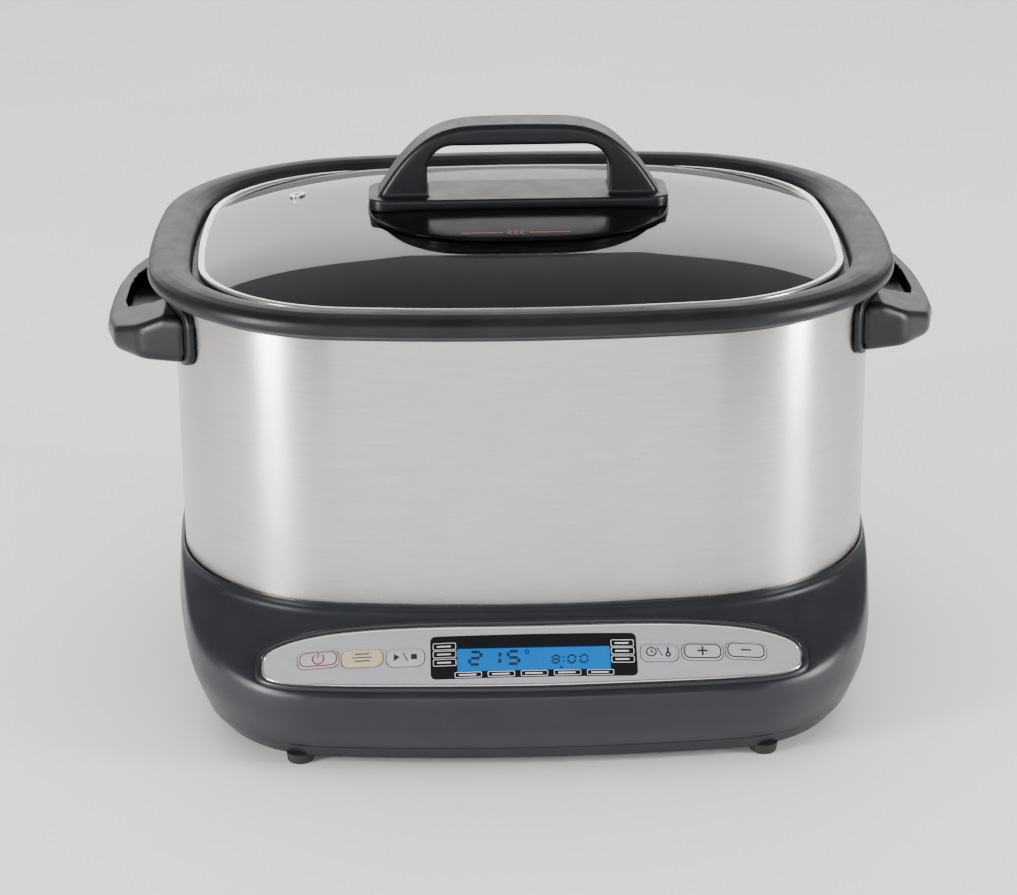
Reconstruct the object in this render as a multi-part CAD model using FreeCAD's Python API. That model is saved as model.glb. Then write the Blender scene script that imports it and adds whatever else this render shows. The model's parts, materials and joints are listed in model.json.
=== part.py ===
"""Countertop slow cooker: oval-cornered steel jacket on a sloped control base, lift-out pot, glass lid.

Millimetres, +Z up, +Y towards the back. Everything is built about the pot's vertical axis and moved
on export so that the origin is the middle of the whole object's footprint on the worktop.
"""
import FreeCAD, Part
import os
from math import cos, exp, pi, radians, sin, tan

V = FreeCAD.Vector

# ---------------------------------------------------------------- driving dimensions
# plan outline of the steel jacket: four bowed sides joined by four round corners
JACKET_HALF_X = 175.0
JACKET_HALF_Y = 144.7
JACKET_CORNER = 97.0
JACKET_BOW_Y = 692.0          # radius of the bowed front and back
JACKET_BOW_X = 647.0          # radius of the bowed ends
SHEET = 0.8                   # steel and liner thickness
JACKET_BOTTOM = 65.0
JACKET_TOP = 208.3
LINER_OFFSET = -12.0          # liner face, inwards from the jacket face

# base: sections of the outer wall as (height, half width, front, back, front corner radius)
PAN_BOTTOM = (5.0, 163.0, 170.5, 134.0, 62.0)
WALL_SECTIONS = (
    (12.0, 169.5, 174.0, 140.0, 66.0),
    (22.0, 173.5, 181.0, 144.0, 71.0),
    (34.0, 178.0, 185.5, 146.5, 77.0),
    (48.0, 179.3, 187.8, 148.0, 85.0),
    (76.0, 177.3, 188.5, 148.2, 100.0),
)
BASE_FRONT = 187.15           # where the deck meets the front wall
WALL_BOW_FRONT = 900.0
WALL_BOW_SIDE = 660.0
WALL = 2.6
DECK_SHELL = 4.0
SEAM = 0.4
LIP_Z = 74.0
LIP_WIDTH = 1.5
DECK_SLOPE = 36.0
LEDGE_TOP = JACKET_BOTTOM
LEDGE_BOTTOM = 62.0
LEDGE_INNER = -22.0
PAN_FLOOR = 2.5

# pot, measured as (height, offset from the jacket outline)
POT_BOTTOM = 82.0
POT_UNDER_RIM = 211.2
LID_LEDGE = 213.6
RIM_REACH = 12.5
RIM_CROWN = 223.2

# lid
RING_OUTER = -12.3
RING_INNER = -16.3
RING_TOP = 219.8
GLASS = 3.6
GLASS_EDGE = -14.2
GLASS_EDGE_Z = 214.6
DOME_RISE = 17.0
DOME_POWER = 3.5
PLAN_POWER = 3.19             # squareness of the glass's outline, as a superellipse
PLATE_HALF_X = 76.5
PLATE_HALF_Y = 67.0
PLATE_POWER = 2.6
PLATE_THICK = 1.6
GRIP_DEPTH = 12.5             # half depth of the grip, front to back
BAR_HALF_X = 76.0
BAR_HALF_Y = 19.5
BAR_TOP = 242.0
LID_SCREW_X = 58.0
VENT_AT = (-114.0, 38.0)

# side handles
HANDLE_LOW = 180.0
HANDLE_HIGH = 204.0
HANDLE_EDGE_HIGH = 189.5      # top of the outer bar, lower than the roots
HANDLE_REACH = 208.5
HANDLE_Y = -12.0              # the handles' middle, in front of the pot axis
RECESS_Y = -8.0               # the middle of the recess inside each handle
HANDLE_ROUND = 5.0            # rounding of the handles' outer edges
HANDLE_MID = (HANDLE_LOW + HANDLE_HIGH) / 2.0
HANDLE_SCREWS = ((-77.0, 164.6), (53.0, 171.4))
HANDLE_SCREW_TIP = 177.5      # how far out the screws reach
WEB = (183.0, 186.0)          # floor of the recess inside each handle
COLLAR = 3.2
COLLAR_HALF_Y = 80.5
COLLAR_CORNER = 10.0

# control panel
PANEL_D = 22.2                # distance of its middle from the lip edge, in plan
PANEL_RADIUS = 1217.0         # curve of the panel's face along its length
FASCIA_HALF_U = 130.0
FASCIA_HALF_V = 16.4
FASCIA_POWER = 3.3
FASCIA_BOW = (2.1, 60.0)      # its ends stand this much higher than its middle, over this distance
TRIM = 3.0
FASCIA_PROUD = 0.3
FASCIA_DEEP = 1.6
POCKET_DEEP = 1.7
WINDOW = (98.4, 23.2, 2.5)
WINDOW_U = 0.5
APERTURE = (73.6, 13.0, 0.6)
APERTURE_V = -1.4
BUTTON_HIGH = 9.4
BUTTON_CORNER = 3.8
BUTTON_GAP = 0.35
BUTTON_TRAVEL = 0.6
BUTTONS = {                    # name: (place along the panel, place up the panel, width)
    "power": (-102.6, 2.4, 19.6),
    "menu": (-81.5, 1.5, 19.6),
    "start": (-60.8, 0.7, 18.0),
    "timer": (60.8, 0.7, 18.0),
    "plus": (81.5, 1.5, 19.6),
    "minus": (102.6, 2.4, 19.6),
}
BOARD_TOP = -14.0             # control board, below the panel face
BOARD_THICK = 1.6
SWITCH_TOP = -10.3
STEM_END = SWITCH_TOP + BUTTON_TRAVEL + 0.1
STEM_R = 2.0
BOARD_POSTS = ((-113.0, -8.5), (113.0, -8.5), (-113.0, 8.5), (113.0, 8.5))

# feet and fasteners
FOOT_AT = ((-113.0, -157.0), (113.0, -157.0), (-108.0, 112.0), (108.0, 112.0))
FOOT_R = 7.0
SCREW_AT = (
    (-150.0, -95.0), (150.0, -95.0), (-147.0, 88.0), (147.0, 88.0), (-60.0, 130.0), (60.0, 130.0),
)
SCREW_R = 1.45

# heater, sensor and electronics
PLATE_BOTTOM_Z = 74.0
ELEMENT_R = 72.0
ELEMENT_TUBE = 3.3
ELEMENT_GAP = 26.0            # degrees left open between the element's two ends
LEG_AT = tuple((ELEMENT_R * sin(radians(a)), ELEMENT_R * cos(radians(a)))
               for a in (-ELEMENT_GAP / 2, ELEMENT_GAP / 2))
POST_AT = ((-100.0, -45.0), (100.0, -45.0), (-100.0, 45.0), (100.0, 45.0))
GUIDE_R = 13.0
GUIDE_FLOOR = 56.0
SPRING_LOW = GUIDE_FLOOR + 2.0
CAP_R = 10.6
CAP_TOP = POT_BOTTOM - 0.4
SPRING_R = 7.6
POWER_BOARD = (-75.0, -10.0, 130.0, 80.0)
POWER_BOARD_Z = 18.0
WIRE_R = 1.3
INLET_Z = 36.0
INLET_HALF = (14.2, 10.2)     # half width and half height of the hole in the wall
PIN_AT = ((-7.0, INLET_Z - 2.0), (7.0, INLET_Z - 2.0), (0.0, INLET_Z + 2.0))
WALL_VENTS = (-90, -84, -78, -72, 72, 78, 84, 90)

# the object's own frame: y of the pot axis above the middle of the footprint
RIM_BACK = JACKET_HALF_Y + RIM_REACH
POT_Y = (BASE_FRONT - RIM_BACK) / 2.0

os.makedirs("parts", exist_ok=True)


def save(shape, node):
    """Move a finished shape into the object's frame and write it."""
    moved = shape.copy()
    moved.translate(V(0, POT_Y, 0))
    moved.exportStep("parts/%s.step" % node)
    print("%-22s solids %2d  volume %10.1f" % (node, len(moved.Solids), moved.Volume))


# ---------------------------------------------------------------- plan outlines
def corner_circle(flat, flat_r, side, side_r, corner_r, up):
    """Centre of a corner circle inside two larger ones, and its tangent points on each."""
    ra = flat_r - corner_r
    rb = side_r - corner_r
    dx = side[0] - flat[0]
    dy = side[1] - flat[1]
    gap = (dx * dx + dy * dy) ** 0.5
    along = (ra * ra - rb * rb + gap * gap) / (2.0 * gap)
    off = (ra * ra - along * along) ** 0.5
    ux = dx / gap
    uy = dy / gap
    options = [(flat[0] + along * ux - s * off * uy, flat[1] + along * uy + s * off * ux) for s in (1, -1)]
    centre = max(options, key=lambda p: p[0] + up * p[1])
    on_flat = tuple(f + (c - f) / ra * flat_r for f, c in zip(flat, centre))
    on_side = tuple(f + (c - f) / rb * side_r for f, c in zip(side, centre))
    return centre, on_flat, on_side


def arc_through(start, end, centre, radius, z):
    """The short arc between two points of a circle."""
    mid = ((start[0] + end[0]) / 2.0 - centre[0], (start[1] + end[1]) / 2.0 - centre[1])
    size = (mid[0] ** 2 + mid[1] ** 2) ** 0.5
    middle = (centre[0] + mid[0] / size * radius, centre[1] + mid[1] / size * radius)
    points = [V(p[0], p[1], z) for p in (start, middle, end)]
    return Part.Arc(*points).toShape()


def plan_wire(z, half_x, front, back, corner_front, corner_back, bow_front, bow_back, bow_side):
    """Closed outline of eight tangent arcs, the same on the left and on the right."""
    fc = (0.0, bow_front - front)
    bc = (0.0, back - bow_back)
    sc = (half_x - bow_side, 0.0)
    cf, f1, f2 = corner_circle(fc, bow_front, sc, bow_side, corner_front, -1)
    cb, b1, b2 = corner_circle(bc, bow_back, sc, bow_side, corner_back, 1)

    def flip(p):
        return (-p[0], p[1])

    edges = [
        arc_through(flip(f1), f1, fc, bow_front, z),
        arc_through(f1, f2, cf, corner_front, z),
        arc_through(f2, b2, sc, bow_side, z),
        arc_through(b2, b1, cb, corner_back, z),
        arc_through(b1, flip(b1), bc, bow_back, z),
        arc_through(flip(b1), flip(b2), flip(cb), corner_back, z),
        arc_through(flip(b2), flip(f2), flip(sc), bow_side, z),
        arc_through(flip(f2), flip(f1), flip(cf), corner_front, z),
    ]
    return Part.Wire(edges)


def jacket_wire(z, offset):
    """The jacket outline, grown outwards by offset."""
    half_y = JACKET_HALF_Y + offset
    corner = JACKET_CORNER + offset
    bow_y = JACKET_BOW_Y + offset
    half_x = JACKET_HALF_X + offset
    return plan_wire(z, half_x, half_y, half_y, corner, corner, bow_y, bow_y, JACKET_BOW_X + offset)


def scaled_wire(z, scale, offset=0.0):
    """The jacket outline grown by offset, then scaled about the pot axis."""
    wire = jacket_wire(0.0, offset)
    matrix = FreeCAD.Matrix()
    matrix.scale(scale, scale, 1.0)
    wire = wire.transformGeometry(matrix)
    wire.translate(V(0, 0, z))
    return wire


def stack(levels):
    """Solid whose outline at each (height, offset) level is the grown jacket outline."""
    return Part.makeLoft([jacket_wire(z, d) for z, d in levels], True, True)


def tube(low, high, outer, inner):
    """Upright ring between two offsets of the jacket outline."""
    return stack([(low, outer), (high, outer)]).cut(stack([(low - 1, inner), (high + 1, inner)]))


def wall_wire(section, inset):
    z, half_x, front, back, corner = section
    return plan_wire(
        z, half_x - inset, front - inset, back - inset, corner - inset, JACKET_CORNER - inset,
        WALL_BOW_FRONT - inset, JACKET_BOW_Y - inset, WALL_BOW_SIDE - inset,
    )


def wall_solid(inset):
    return Part.makeLoft([wall_wire(s, inset) for s in WALL_SECTIONS], True, True)


def cylinder(x, y, low, high, radius):
    return Part.makeCylinder(radius, high - low, V(x, y, low))


def box(x0, y0, z0, x1, y1, z1):
    return Part.makeBox(x1 - x0, y1 - y0, z1 - z0, V(x0, y0, z0))


def fuse(shapes):
    first = shapes[0]
    return first.multiFuse(shapes[1:]).removeSplitter() if len(shapes) > 1 else first


def group(shapes):
    return Part.makeCompound(shapes)


# ---------------------------------------------------------------- control panel frame
SLOPE = radians(DECK_SLOPE)
PANEL_NORMAL = V(0, -sin(SLOPE), cos(SLOPE))
PANEL_Y = -(JACKET_HALF_Y + LIP_WIDTH + PANEL_D)
PANEL_Z = LIP_Z - PANEL_D * tan(SLOPE)
PANEL = FreeCAD.Placement(V(0, PANEL_Y, PANEL_Z), FreeCAD.Rotation(V(1, 0, 0), DECK_SLOPE))
REACH = 40.0                  # long enough to pass through the panel's shell


def on_panel(shape):
    """Put a shape drawn about the origin, facing +Z, on the panel's middle, facing out."""
    placed = shape.copy()
    placed.Placement = PANEL.multiply(placed.Placement)
    return placed


def deck(rise):
    """Everything below the sloped deck, lifted along the panel's normal."""
    low = LIP_Z - 64.0
    run = (LIP_Z - low) / tan(SLOPE)
    solid = stack([(low, LIP_WIDTH + run), (LIP_Z, LIP_WIDTH)])
    solid.translate(PANEL_NORMAL * rise)
    return solid


def superellipse(half_u, half_v, power, low, high, bow=(0.0, 1.0)):
    """Prism with a squared-off oval outline, its ends lifted along v by the bow."""
    steps = 48
    points = []
    for i in range(steps):
        a = 2 * pi * i / steps
        c = cos(a)
        s = sin(a)
        u = half_u * abs(c) ** (2 / power) * (1 if c >= 0 else -1)
        v = half_v * abs(s) ** (2 / power) * (1 if s >= 0 else -1)
        lift = bow[0] * (1 - exp(-(u / bow[1]) ** 2))
        points.append(V(u, v + lift, low))
    curve = Part.BSplineCurve()
    curve.interpolate(points, PeriodicFlag=True)
    face = Part.Face(Part.Wire([curve.toShape()]))
    return face.extrude(V(0, 0, high - low))


def lens(grown, low, high):
    """Prism of the fascia's outline, grown by a margin."""
    return superellipse(FASCIA_HALF_U + grown, FASCIA_HALF_V + grown, FASCIA_POWER, low, high, FASCIA_BOW)


def slab(u, v, wide, high, corner, low, top):
    """Upright block with rounded upright edges."""
    block = box(u - wide / 2, v - high / 2, low, u + wide / 2, v + high / 2, top)
    return block.makeFillet(corner, edges_along(block, V(0, 0, 1)))


def edges_along(shape, axis):
    """The straight edges that run along an axis."""
    return [e for e in shape.Edges if abs(e.tangentAt(e.FirstParameter).dot(axis)) > 0.9]


def skin(prism, rise, deep):
    """The part of a panel prism between two lifted decks: a plate that follows the deck."""
    return on_panel(prism).common(deck(rise)).cut(deck(-deep))


# ---------------------------------------------------------------- base
def make_housing():
    body = wall_solid(0.0).common(deck(0.0))
    body = body.cut(stack([(LEDGE_TOP, 0.3), (LIP_Z + 6, 0.3)]))
    body = body.cut(stack([(LEDGE_BOTTOM - 6, LEDGE_INNER), (LIP_Z + 6, LEDGE_INNER)]))
    cavity = wall_solid(WALL).common(deck(-DECK_SHELL))
    cavity = cavity.cut(stack([(LEDGE_BOTTOM, 0.3 + WALL), (LIP_Z + 20, 0.3 + WALL)]))
    body = body.cut(cavity)
    pocket = on_panel(lens(TRIM + 0.6, -REACH / 2, REACH / 2))
    body = body.cut(pocket.cut(deck(-POCKET_DEEP)))
    body = body.cut(on_panel(slab(WINDOW_U, APERTURE_V, 80.0, 18.0, 1.0, -REACH / 2, REACH / 2)))
    for u, v, _ in BUTTONS.values():
        body = body.cut(on_panel(cylinder(u, v, -REACH / 2, REACH / 2, STEM_R + 0.6)))
    low = WALL_SECTIONS[0][0]
    bosses = [cylinder(x, y, low, LEDGE_BOTTOM + 1, 4.0) for x, y in SCREW_AT]
    bosses += [on_panel(cylinder(u, v, BOARD_TOP, -8.0, 3.0)) for u, v in BOARD_POSTS]
    body = fuse([body] + bosses)
    for x, y in SCREW_AT:
        body = body.cut(cylinder(x, y, low - 1, 26.0, SCREW_R))
    for u, v in BOARD_POSTS:
        body = body.cut(on_panel(cylinder(u, v, BOARD_TOP - 1, BOARD_TOP + 4, 1.0)))
    for x in WALL_VENTS:
        body = body.cut(box(x - 1.5, 120, 24, x + 1.5, 160, 42))
    half_w, half_h = INLET_HALF
    return body.cut(box(-half_w, 120, INLET_Z - half_h, half_w, 160, INLET_Z + half_h))


def make_pan():
    top = WALL_SECTIONS[0]
    outer = Part.makeLoft([wall_wire(PAN_BOTTOM, 0), wall_wire(top, 0)], True, True)
    inner_low = (PAN_BOTTOM[0] + PAN_FLOOR,) + PAN_BOTTOM[1:]
    inner = Part.makeLoft([wall_wire(inner_low, WALL), wall_wire(top, WALL)], True, True)
    body = outer.cut(inner)
    seam_z = top[0] - SEAM
    body = body.cut(box(-200, -200, seam_z, 200, 200, top[0] + 1))
    floor = PAN_BOTTOM[0]
    posts = [cylinder(x, y, floor, top[0], 4.6) for x, y in SCREW_AT]
    x0, y0, wide, deep = POWER_BOARD
    inset = 6
    posts += [cylinder(x, y, floor, POWER_BOARD_Z, 3.6)
              for x in (x0 + inset, x0 + wide - inset) for y in (y0 + inset, y0 + deep - inset)]
    body = fuse([body] + posts)
    for x, y in SCREW_AT:
        body = body.cut(cylinder(x, y, floor - 1, top[0] + 1, SCREW_R + 0.25))
        body = body.cut(cylinder(x, y, floor - 1, floor + 3.0, 3.8))
    for x, y in FOOT_AT:
        body = body.cut(cylinder(x, y, floor - 1, floor + PAN_FLOOR + 1, 3.0))
        body = body.cut(cylinder(x, y, floor + PAN_FLOOR, floor + PAN_FLOOR + 3.5, 4.3))
    slots = [box(x - 20, y - 1.5, floor - 1, x + 20, y + 1.5, floor + PAN_FLOOR + 1)
             for x in (-95, 95) for y in range(-60, -9, 10)]
    return body.cut(group(slots))


def make_foot(x, y):
    pad = Part.makeCone(FOOT_R - 0.7, FOOT_R, PAN_BOTTOM[0], V(x, y, 0))
    rim = [e for e in pad.Edges if e.BoundBox.ZMax < 0.01]
    pad = pad.makeFillet(0.8, rim)
    stem = cylinder(x, y, PAN_BOTTOM[0] - 1, PAN_BOTTOM[0] + PAN_FLOOR, 3.0)
    head = Part.makeCone(4.0, 2.4, 2.2, V(x, y, PAN_BOTTOM[0] + PAN_FLOOR))
    return fuse([pad, stem, head])


def make_pan_screw(x, y):
    head_low = PAN_BOTTOM[0] + 0.6
    head = cylinder(x, y, head_low, PAN_BOTTOM[0] + 3.0, 3.4)
    cross = group([box(x - 2, y - 0.4, head_low - 1, x + 2, y + 0.4, head_low + 1.2),
                   box(x - 0.4, y - 2, head_low - 1, x + 0.4, y + 2, head_low + 1.2)])
    return fuse([head.cut(cross), cylinder(x, y, PAN_BOTTOM[0] + 2.9, 24.0, SCREW_R)])


def make_inlet():
    """Recessed three-pin mains inlet: flange, tub and mouth."""
    back = WALL_SECTIONS[2][3]
    half_w, half_h = INLET_HALF
    flange = box(-17, back - 3, INLET_Z - 13, 17, back + 3.2, INLET_Z + 13)
    flange = flange.makeFillet(3.0, edges_along(flange, V(0, 1, 0))).cut(wall_solid(0.0))
    tub = box(-half_w + 0.3, back - 24, INLET_Z - half_h + 0.3, half_w - 0.3, back + 2, INLET_Z + half_h - 0.3)
    body = fuse([flange, tub])
    mouth = box(-12, back - 18, INLET_Z - 8, 12, back + 5, INLET_Z + 8)
    upper = [e for e in edges_along(mouth, V(0, 1, 0)) if e.CenterOfMass.z > INLET_Z]
    body = body.cut(mouth.makeChamfer(4.5, upper))
    for x, z in PIN_AT:
        body = body.cut(box(x - 1, back - 30, z - 2, x + 1, back - 10, z + 2))
    return body


def make_inlet_pins():
    back = WALL_SECTIONS[2][3]
    return group([box(x - 1, back - 30, z - 2, x + 1, back - 4, z + 2) for x, z in PIN_AT])


def handle_prism(half, middle, low, high):
    """Upright prism on the left: half an outline, given behind its middle, and its mirror image."""
    outline = half + [(x, -y) for x, y in reversed(half)]
    loop = [V(-x, middle + y, low) for x, y in outline]
    return Part.Face(Part.makePolygon(loop + loop[:1])).extrude(V(0, 0, high - low))


def make_side_handle():
    """Left handle: a loop with thick roots, a lower outer bar and a recessed floor."""
    outline = [(150, 76), (168, 76), (188.5, 69), (202.5, 52), (207.5, 30), (HANDLE_REACH, 12)]
    hole = [(150, 42), (181, 42), (197, 28), (199.5, 14)]
    body = handle_prism(outline, HANDLE_Y, HANDLE_LOW, HANDLE_HIGH)
    outermost = [e for e in edges_along(body, V(0, 0, 1)) if e.CenterOfMass.x < -186]
    body = body.makeFillet(14.0, outermost)
    root_x = 176.0
    fall = HANDLE_HIGH - HANDLE_EDGE_HIGH
    run = HANDLE_REACH - root_x
    wedge = Part.Face(Part.makePolygon([
        V(-root_x, -110, HANDLE_HIGH), V(-root_x - 2 * run, -110, HANDLE_HIGH - 2 * fall),
        V(-root_x - 2 * run, -110, HANDLE_HIGH + 20), V(-root_x, -110, HANDLE_HIGH + 20),
        V(-root_x, -110, HANDLE_HIGH),
    ])).extrude(V(0, 220, 0))
    body = body.cut(wedge)
    flat = [e for e in body.Edges if abs(e.tangentAt(e.FirstParameter).z) < 0.9 and e.BoundBox.YLength < 100]
    lower = [e for e in flat if e.CenterOfMass.x < -155 and e.BoundBox.ZMax < HANDLE_LOW + 0.1]
    upper = [e for e in flat if e.CenterOfMass.x < -165 and e.BoundBox.ZMin > HANDLE_LOW + 1]
    body = body.makeFillet(HANDLE_ROUND, lower + upper)
    window = handle_prism(hole, RECESS_Y, HANDLE_LOW - 5, HANDLE_HIGH + 5)
    outermost = [e for e in edges_along(window, V(0, 0, 1)) if e.CenterOfMass.x < -178]
    window = window.makeFillet(6.0, outermost)
    web = window.common(box(-210, -100, WEB[0], -150, 100, WEB[1]))
    body = fuse([body.cut(window), web])
    body = body.cut(stack([(HANDLE_LOW - 5, COLLAR), (HANDLE_HIGH + 5, COLLAR)]))
    for y, start in HANDLE_SCREWS:
        body = body.cut(handle_screw_shank(y, start, 2.0, 1.0))
    return body


def handle_screw_shank(y, start, radius, extra=0.0):
    length = HANDLE_SCREW_TIP + extra - start
    return Part.makeCylinder(radius, length, V(-start, y, HANDLE_MID), V(-1, 0, 0))


def make_collar():
    """Left collar: a curved pad between the jacket and the handle roots."""
    low = HANDLE_LOW - 1.5
    high = JACKET_TOP - 0.1
    pad = tube(low, high, COLLAR, 0.0)
    limits = box(-200, HANDLE_Y - COLLAR_HALF_Y, low, -150, HANDLE_Y + COLLAR_HALF_Y, high)
    pad = pad.common(limits.makeFillet(COLLAR_CORNER, edges_along(limits, V(1, 0, 0))))
    for y, start in HANDLE_SCREWS:
        pad = pad.cut(handle_screw_shank(y, start, 2.2))
    return pad


def make_handle_screw(y, start):
    head = Part.makeCylinder(3.6, 2.4, V(-start + 2.3, y, HANDLE_MID), V(-1, 0, 0))
    return fuse([head, handle_screw_shank(y, start, 1.9)])


def mirrored(shape):
    return shape.mirror(V(0, 0, 0), V(1, 0, 0))


# ---------------------------------------------------------------- pot and lid
def make_pot():
    wall = [(POT_BOTTOM, -32.0), (84.5, -26.0), (90.0, -21.5), (100.0, -18.6), (POT_UNDER_RIM + 1, -17.0)]
    rim = [(POT_UNDER_RIM, 5.5), (212.2, 9.3), (214.2, 11.8), (217.0, RIM_REACH), (219.8, 11.6),
           (221.8, 8.8), (222.9, 5.0), (RIM_CROWN, 1.5)]
    recess = [(LID_LEDGE, -9.5), (217.0, -9.2), (219.5, -7.8), (221.5, -5.0), (222.8, -1.5),
              (RIM_CROWN + 0.1, 0.6)]
    inside = [(85.0, -36.0), (87.5, -29.0), (93.0, -24.0), (103.0, -21.2), (LID_LEDGE + 1, -19.6)]
    body = fuse([stack(wall), stack(rim)])
    return body.cut(stack(recess)).cut(stack(inside))


def dome(rise=0.0):
    """Solid under the lid's domed top face, down to the level of the glass edge's top."""
    top_edge = GLASS_EDGE_Z + GLASS
    scales = [1.0, 0.95, 0.88, 0.78, 0.65, 0.5, 0.33, 0.14]
    wires = [scaled_wire(top_edge + DOME_RISE * (1 - s ** DOME_POWER) + rise, s, GLASS_EDGE) for s in scales]
    return Part.makeLoft(wires, True, True)


def dome_height(x, y):
    """Height of the glass top above the worktop near a point, from the outline's squareness."""
    power = PLAN_POWER
    a = JACKET_HALF_X + GLASS_EDGE
    b = JACKET_HALF_Y + GLASS_EDGE
    s = ((abs(x) / a) ** power + (abs(y) / b) ** power) ** (1 / power)
    return GLASS_EDGE_Z + GLASS + DOME_RISE * (1 - s ** DOME_POWER)


def make_glass():
    edge = stack([(GLASS_EDGE_Z, GLASS_EDGE), (GLASS_EDGE_Z + GLASS, GLASS_EDGE)])
    body = fuse([edge, dome()]).cut(dome(-GLASS))
    for side in (-1, 1):
        body = body.cut(cylinder(side * LID_SCREW_X, 0, 200, 260, 3.2))
    return body.cut(vent_tool(3.1, -10, 10))


def vent_frame():
    """Placement at the steam vent, facing along the glass's normal."""
    x, y = VENT_AT
    step = 1.0
    slope_x = (dome_height(x + step, y) - dome_height(x - step, y)) / (2 * step)
    slope_y = (dome_height(x, y + step) - dome_height(x, y - step)) / (2 * step)
    normal = V(-slope_x, -slope_y, 1)
    return FreeCAD.Placement(V(x, y, dome_height(x, y)), FreeCAD.Rotation(V(0, 0, 1), normal))


def vent_tool(radius, low, high):
    tool = Part.makeCylinder(radius, high - low, V(0, 0, low))
    tool.Placement = vent_frame()
    return tool


def make_vent():
    parts = [(3.0, -GLASS - 0.3, 0.5), (4.3, 0.15, 1.0), (4.3, -GLASS - 1.2, -GLASS - 0.3)]
    body = fuse([vent_tool(*p) for p in parts])
    return body.cut(vent_tool(1.9, -10, 10))


def make_ring():
    body = tube(LID_LEDGE, RING_TOP, RING_OUTER, RING_INNER)
    top = [e for e in body.Edges if e.BoundBox.ZMin > RING_TOP - 0.01]
    body = body.makeFillet(1.2, top).cut(dome(0.1))
    return body.cut(tube(GLASS_EDGE_Z - 0.1, GLASS_EDGE_Z + GLASS + 0.1, GLASS_EDGE + 0.1, RING_INNER - 2))


def make_plate():
    body = superellipse(PLATE_HALF_X, PLATE_HALF_Y, PLATE_POWER, 225, 245)
    body = body.common(dome(PLATE_THICK)).cut(dome())
    for side in (-1, 1):
        body = body.cut(cylinder(side * LID_SCREW_X, 0, 200, 260, 3.2))
    return body


def make_lid_handle():
    """Foot bar that sits on the plate, two sloping legs and a grip."""
    half = [(72.5, BAR_TOP - 2), (62.8, 255.0), (52.2, 266.8), (42.4, 273.5), (32.0, 276.9), (16.0, 278.2)]
    outer = [V(x, 0, z) for x, z in half] + [V(0, 0, 278.4)] + [V(-x, 0, z) for x, z in reversed(half)]
    top = Part.BSplineCurve()
    top.interpolate(outer)
    sole = Part.LineSegment(outer[-1], outer[0])
    arch = Part.Face(Part.Wire([top.toShape(), sole.toShape()])).extrude(V(0, 2 * GRIP_DEPTH, 0))
    arch.translate(V(0, -GRIP_DEPTH, 0))
    arch = arch.makeChamfer(2.0, [e for e in arch.Edges if isinstance(e.Curve, Part.BSplineCurve)])
    opening = box(-46, -30, BAR_TOP, 46, 30, 268)
    upper = [e for e in edges_along(opening, V(0, 1, 0)) if e.CenterOfMass.z > 260]
    opening = opening.makeFillet(13.0, upper)
    arch = arch.cut(opening)
    bar = box(-BAR_HALF_X, -BAR_HALF_Y, 228, BAR_HALF_X, BAR_HALF_Y, BAR_TOP)
    bar = bar.makeFillet(9.0, edges_along(bar, V(0, 0, 1)))
    body = fuse([arch, bar]).cut(dome(PLATE_THICK))
    for side in (-1, 1):
        body = body.cut(cylinder(side * LID_SCREW_X, 0, 220, 252, 2.45))
    return body


UNDER_GLASS = dome_height(LID_SCREW_X + 9.0, 9.0) - GLASS


def make_lid_screw(side):
    x = side * LID_SCREW_X
    low = UNDER_GLASS - 1.6
    return fuse([cylinder(x, 0, low - 2.4, low, 5.2), cylinder(x, 0, low - 0.1, 251.0, 2.4)])


def make_lid_washer(side):
    x = side * LID_SCREW_X
    return cylinder(x, 0, UNDER_GLASS - 1.6, UNDER_GLASS - 0.1, 8.5).cut(cylinder(x, 0, 200, 260, 2.5))


# ---------------------------------------------------------------- heater and sensor
def element_ring(tube_r):
    ring = Part.makeTorus(ELEMENT_R, tube_r, V(0, 0, 0), V(0, 0, 1), 0, 360, 360 - ELEMENT_GAP)
    ring.rotate(V(0, 0, 0), V(0, 0, 1), 90 + ELEMENT_GAP / 2)
    ring.translate(V(0, 0, PLATE_BOTTOM_Z))
    return ring


def make_element():
    legs = [cylinder(x, y, 58.0, PLATE_BOTTOM_Z, ELEMENT_TUBE) for x, y in LEG_AT]
    balls = [Part.makeSphere(ELEMENT_TUBE, V(x, y, PLATE_BOTTOM_Z)) for x, y in LEG_AT]
    tips = [cylinder(x, y, 50.0, 58.5, 1.4) for x, y in LEG_AT]
    return fuse([element_ring(ELEMENT_TUBE)] + legs + balls + tips)


def make_heater_plate():
    body = stack([(PLATE_BOTTOM_Z, -48.0), (80.5, -48.0), (POT_BOTTOM, -49.5)])
    body = body.cut(element_ring(ELEMENT_TUBE + 0.05)).cut(cylinder(0, 0, 70, 90, GUIDE_R + 1.5))
    for x, y in LEG_AT:
        body = body.cut(Part.makeSphere(ELEMENT_TUBE + 0.05, V(x, y, PLATE_BOTTOM_Z)))
        body = body.cut(cylinder(x, y, 70, PLATE_BOTTOM_Z, ELEMENT_TUBE + 0.05))
    return body


def make_liner():
    body = stack([(JACKET_BOTTOM, LINER_OFFSET), (JACKET_TOP, LINER_OFFSET)])
    inside = stack([(JACKET_BOTTOM + SHEET, LINER_OFFSET - SHEET), (JACKET_TOP + 1, LINER_OFFSET - SHEET)])
    body = body.cut(inside).cut(cylinder(0, 0, 60, 70, GUIDE_R + 0.5))
    for x, y in LEG_AT:
        body = body.cut(cylinder(x, y, 60, 70, ELEMENT_TUBE + 1.5))
    return body


def make_reflector():
    body = stack([(69.0, -36.0), (69.6, -36.0)]).cut(cylinder(0, 0, 60, 75, GUIDE_R + 0.5))
    for x, y in LEG_AT:
        body = body.cut(cylinder(x, y, 60, 75, ELEMENT_TUBE + 1.5))
    for x, y in POST_AT:
        body = body.cut(cylinder(x, y, 60, 75, 3.0))
    return body


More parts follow.
